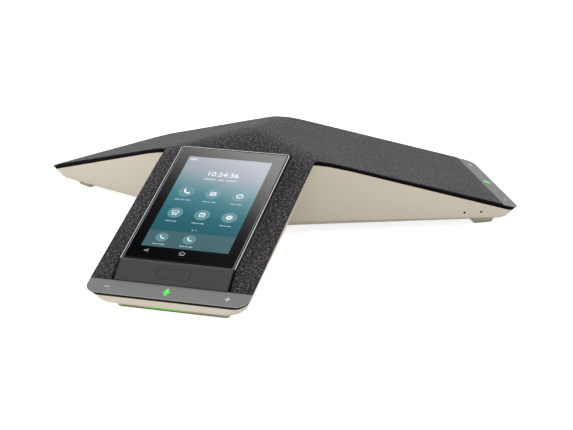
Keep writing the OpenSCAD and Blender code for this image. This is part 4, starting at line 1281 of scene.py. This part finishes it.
    def clock(self) -> None:
        """Makes the reading of the clock from plain numbers."""
        curve = bpy.data.curves.new("clock_reading", "FONT")
        curve.body = "10:24:36"
        curve.size = self.clock_size
        curve.align_x, curve.align_y = "CENTER", "CENTER"
        curve.extrude = Layer.PICTURE.value
        lettering = place_object("clock_reading_curve", curve)
        bpy.context.view_layer.update()
        mesh = bpy.data.meshes.new_from_object(lettering)
        bpy.data.objects.remove(lettering)
        mesh.transform(Matrix.Translation((self.clock_row, 0, Layer.SIGN.value))
                       @ Matrix.Rotation(math.pi / 2, 4, "Z"))
        mesh.materials.clear()
        mesh.materials.append(self.palette.take(self.white))
        join_body(place_object("clock_reading", mesh, self.plan.screen()), "display_panel")


@dataclass
class Chin(SubAssembly):
    """The ramp below the screen and the key in it, drawn to the sizes of the real ones."""

    base_n: float = -0.0008
    old_top: tuple[Point, Point] = ((0.16938, 0.00549), (0.18638, 0.0008))
    fold_u: float = 0.1719
    flat_n: float = 0.00565
    end_n: float = 0.0007
    key_shift: float = 0.00105
    key_region: Point = (0.1729, 0.1828)
    key_side: Point = (0.0136, 0.0124)
    side: Point = (0.042, 0.0406)
    switch_gap: float = 0.00004

    def build(self) -> None:
        """Makes the ramp and the key."""
        ramp = self.soften("chin_cover", "chin_ramp", Softening(0.0003), CHIN_GREY)
        self.fold(ramp)
        self.reshape(ramp)
        join_body(ramp, "chin_plastic", "chin_cover")
        key = self.soften("chin_key", "chin_button", Softening(0.00025), KEY_GREY)
        self.reshape(key, self.switch_gap)
        join_body(key, "key_plastic", "chin_key", body=KEY_BODY)

    def place_down(self, down: float) -> float:
        """Where a distance down the slope goes: the ends stay and the key moves down."""
        (first, _), (last, _) = self.old_top
        (start, end), shift = self.key_region, self.key_shift
        return bent(down, ((first - 1, first - 1), (first, first), (start, start + shift),
                           (end, end + shift), (last, last), (last + 1, last + 1)))

    def place_across(self, across: float) -> float:
        """Where a distance across goes: the key and the ramp are a little narrower."""
        return math.copysign(bent(abs(across), ((0.0, 0.0), self.key_side, self.side)), across)

    def new_top(self, down: float) -> float:
        """Height of the ramp's upper face: level below the glass, then straight down."""
        return bent(down, ((0.0, self.flat_n), (self.fold_u, self.flat_n), (self.old_top[1][0], self.end_n)))

    def reshape(self, piece: Piece, lift: float = 0.0) -> None:
        """Moves a piece's points to the new places, none lower than its lowest one plus the lift."""
        plane = self.plan.roof(Arm.FRONT)
        inverse = plane.inverted()
        spots = [inverse @ vert.co for vert in piece.data.vertices]
        lowest = min(spot.z for spot in spots) + lift
        for vert, spot in zip(piece.data.vertices, spots):
            old = bent(spot.x, self.old_top)
            down = self.place_down(spot.x)
            share = max(0.0, (spot.z - self.base_n) / (old - self.base_n))
            height = spot.z + share * (self.new_top(down) - old)
            vert.co = plane @ Vector((down, self.place_across(spot.y), max(height, lowest)))
        piece.data.update()

    def fold(self, ramp: Piece) -> None:
        """Cuts the edge between the level strip and the ramp, and keeps it sharp."""
        plane = self.plan.roof(Arm.FRONT)
        first, start = self.old_top[0][0], self.key_region[0]
        place = bent(self.fold_u, ((first, first), (start + self.key_shift, start)))
        bm = bmesh.new()
        bm.from_mesh(ramp.data)
        cut = bmesh.ops.bisect_plane(bm, geom=bm.verts[:] + bm.edges[:] + bm.faces[:], dist=SAME_PLACE,
                                     plane_co=plane @ Vector((place, 0, 0)), plane_no=plane.col[0].xyz)
        for part in cut["geom_cut"]:
            if isinstance(part, bmesh.types.BMEdge):
                part.smooth = False
        bm.to_mesh(ramp.data)
        bm.free()


@dataclass
class Feet(SubAssembly):
    """The bar foot of each arm, its sole and its light guide."""

    def build(self) -> None:
        """Makes the foot, sole and guide of every arm."""
        for arm in Arm:
            end = arm.label
            # The foot wears the shell's beige darkened as painted shade.
            self.dress(f"foot_{end}", f"foot_{end}_body", "foot_plastic", 0.0004, FOOT_BEIGE_PAINTED_SHADE)
            self.dress(f"foot_sole_{end}", f"sole_{end}", "sole_rubber", 0.00025, SOLE_RUBBER)
            glow = GuideGlow(f"guide_glow_{end}", arm, self.plan.hub_y)
            self.dress(f"light_guide_{end}", f"guide_{end}", "light_guide", 0.0003, glow)


@dataclass
class PlainNodes:
    """Dresses the CAD nodes that show as they are."""

    palette: Palette

    def build(self) -> None:
        """Gives every node the finish whose name begins its own."""
        for name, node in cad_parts.items():
            finish = NODE_FINISHES[max(filter(name.startswith, NODE_FINISHES), key=len)]
            for slot in node.material_slots:
                slot.material = self.palette.take(finish)
            LOG.info("node %s wears %s", name, finish.name)


# ---------------------------------------------------------------- studio


@dataclass
class SoftBox:
    """One area lamp, aimed at the phone."""

    name: str
    place: tuple[float, float, float]
    size: float
    power: float
    aim: tuple[float, float, float] = (0.0, 0.0, 0.03)

    def build(self) -> None:
        """Makes the lamp."""
        lamp = bpy.data.lights.new(self.name, "AREA")
        lamp.shape = "DISK"
        lamp.size = self.size
        lamp.energy = self.power
        holder = place_object(self.name, lamp)
        holder.location = self.place
        holder.rotation_euler = (Vector(self.aim) - holder.location).to_track_quat("-Z", "Y").to_euler()


@dataclass
class Studio:
    """Camera, pale floor, white surroundings and soft light."""

    plan: Plan
    eye: tuple[float, float, float] = (0.41126, -1.14858, 0.46303)
    yaw: float = 0.3188
    pitch: float = 0.3518
    roll: float = -0.0185
    lens: float = 109.34
    sensor: float = 36.0
    fill: float = 0.82
    floor_tone: Colour = (0.8, 0.8, 0.8)
    floor_lift: float = 0.75
    floor_half: float = 3.0
    card_away: float = 1.1
    card_span: Point = (2.0, 1.2)
    card_levels: Point = (2.9, 4.3)
    card_fade: tuple[tuple[float, Colour], ...] = (
        (0.0, (0.95, 0.94, 0.9)), (0.25, (0.49, 0.49, 0.47)), (0.45, (0.15, 0.16, 0.16)),
        (0.64, (0.045, 0.045, 0.05)), (1.0, (0.006, 0.006, 0.008)))
    lamps: tuple[SoftBox, ...] = (
        SoftBox("key_left", (-1.2, -1.0, 0.45), 0.9, 5.5),
        SoftBox("front_low", (0.3, -1.35, 0.14), 0.5, 3.6, (0.05, 0.0, 0.03)),
        SoftBox("side_right", (1.5, -0.7, 0.22), 0.9, 1.5, (0.1, 0.05, 0.03)),
        SoftBox("top_back", (0.1, 0.9, 1.3), 1.1, 4.0))

    def camera(self) -> None:
        """Makes the camera."""
        data = bpy.data.cameras.new("studio_camera")
        data.sensor_fit = "HORIZONTAL"
        data.sensor_width = self.sensor
        data.lens = self.lens
        data.clip_start, data.clip_end = 0.01, 50.0
        level = math.cos(self.pitch)
        ahead = Vector((-math.sin(self.yaw) * level, math.cos(self.yaw) * level, -math.sin(self.pitch)))
        aside = Vector((math.cos(self.yaw), math.sin(self.yaw), 0.0))
        above = aside.cross(ahead)
        right = math.cos(self.roll) * aside + math.sin(self.roll) * above
        up = math.cos(self.roll) * above - math.sin(self.roll) * aside
        turn = Matrix((right, up, -ahead)).transposed().to_4x4()
        bpy.context.scene.camera = place_object("studio_camera", data, Matrix.Translation(self.eye) @ turn)

    def surroundings(self) -> None:
        """Makes the world: white to the eye and in gloss, softer as a light."""
        world = bpy.data.worlds.new("studio_world")
        nodes = Nodes(world)
        strength = nodes.span(nodes.seen("Camera", "Glossy", "Transmission"), UNIT, (self.fill, 1.0))
        back = nodes.add("ShaderNodeBackground", {"Color": rgba(ALL_LIGHT), "Strength": strength})
        nodes.add("ShaderNodeOutputWorld", {"Surface": back.outputs[0]})
        bpy.context.scene.world = world

    def floor(self) -> None:
        """Makes the floor: plain white to the eye, with the phone's own shadow."""
        forms, half = FlatForms(), self.floor_half
        forms.polygon(((-half, -half), (half, -half), (half, half), (-half, half)))
        material = bpy.data.materials.new("floor_white")
        nodes = Nodes(material)
        matte = nodes.add("ShaderNodeBsdfDiffuse", {"Color": rgba(self.floor_tone)})
        lift = nodes.math("MULTIPLY", nodes.seen("Camera", "Glossy"), self.floor_lift)
        both = nodes.add("ShaderNodeAddShader", {0: matte.outputs[0], 1: nodes.glow(rgba(ALL_LIGHT), lift)})
        nodes.add("ShaderNodeOutputMaterial", {"Surface": both.outputs[0]})
        place_mesh("studio_floor", forms.bm, [material])

    def reflector(self) -> None:
        """Makes the card that the glass mirrors: bright at its upper end, dark below."""
        screen = self.plan.screen()
        normal = screen.to_3x3() @ Vector((0, 0, 1))
        eye = Vector(self.eye)

        def mirrored(down: float, reach: float) -> Vector:
            """Where the eye's ray off the middle line of the glass goes."""
            spot = screen @ Vector((down, 0, 0))
            ray = (spot - eye).normalized()
            return spot + reach * (ray - 2 * ray.dot(normal) * normal)

        top, low = (mirrored(down, self.card_away) for down in (0, self.plan.glass_l))
        middle = self.plan.glass_l / 2
        down_axis = (low - top).normalized()
        ahead = (mirrored(middle, self.card_away) - mirrored(middle, 0)).normalized()
        across_axis = ahead.cross(down_axis).normalized()
        turn = Matrix((down_axis, across_axis, down_axis.cross(across_axis))).transposed().to_4x4()
        forms, span = FlatForms(), (low - top).length
        forms.slab(span / 2, 0, self.card_span[0] * span, self.card_span[1] * span)
        material = bpy.data.materials.new("reflector_fade")
        nodes = Nodes(material)
        down, across, _ = nodes.split(nodes.place())
        fade = nodes.ramp(nodes.span(down, (0.0, span), UNIT), self.card_fade)
        level = nodes.span(across, (-0.35 * span, 0.35 * span), self.card_levels)
        nodes.add("ShaderNodeOutputMaterial", {"Surface": nodes.glow(fade, level)})
        card = place_mesh("studio_reflector", forms.bm, [material], Matrix.Translation(top) @ turn)
        for ray in ("camera", "diffuse", "shadow", "transmission"):
            setattr(card, f"visible_{ray}", False)

    def build(self) -> None:
        """Makes the whole studio."""
        self.camera()
        self.surroundings()
        self.floor()
        self.reflector()
        for lamp in self.lamps:
            lamp.build()
        bpy.context.scene.view_settings.view_transform = "Standard"


def main() -> None:
    """Builds the studio and every piece in order."""
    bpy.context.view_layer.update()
    plan = Plan.from_frame()
    palette = Palette(Effects())
    Studio(plan).build()
    PlainNodes(palette).build()
    for kind in (ClothFrame, RoofCloth, Housing, TouchBars, Screen, Chin, Feet):
        kind(plan, palette).build()


if __name__ == "__main__":
    logging.basicConfig(level=logging.INFO, format="%(name)s: %(message)s")
    main()
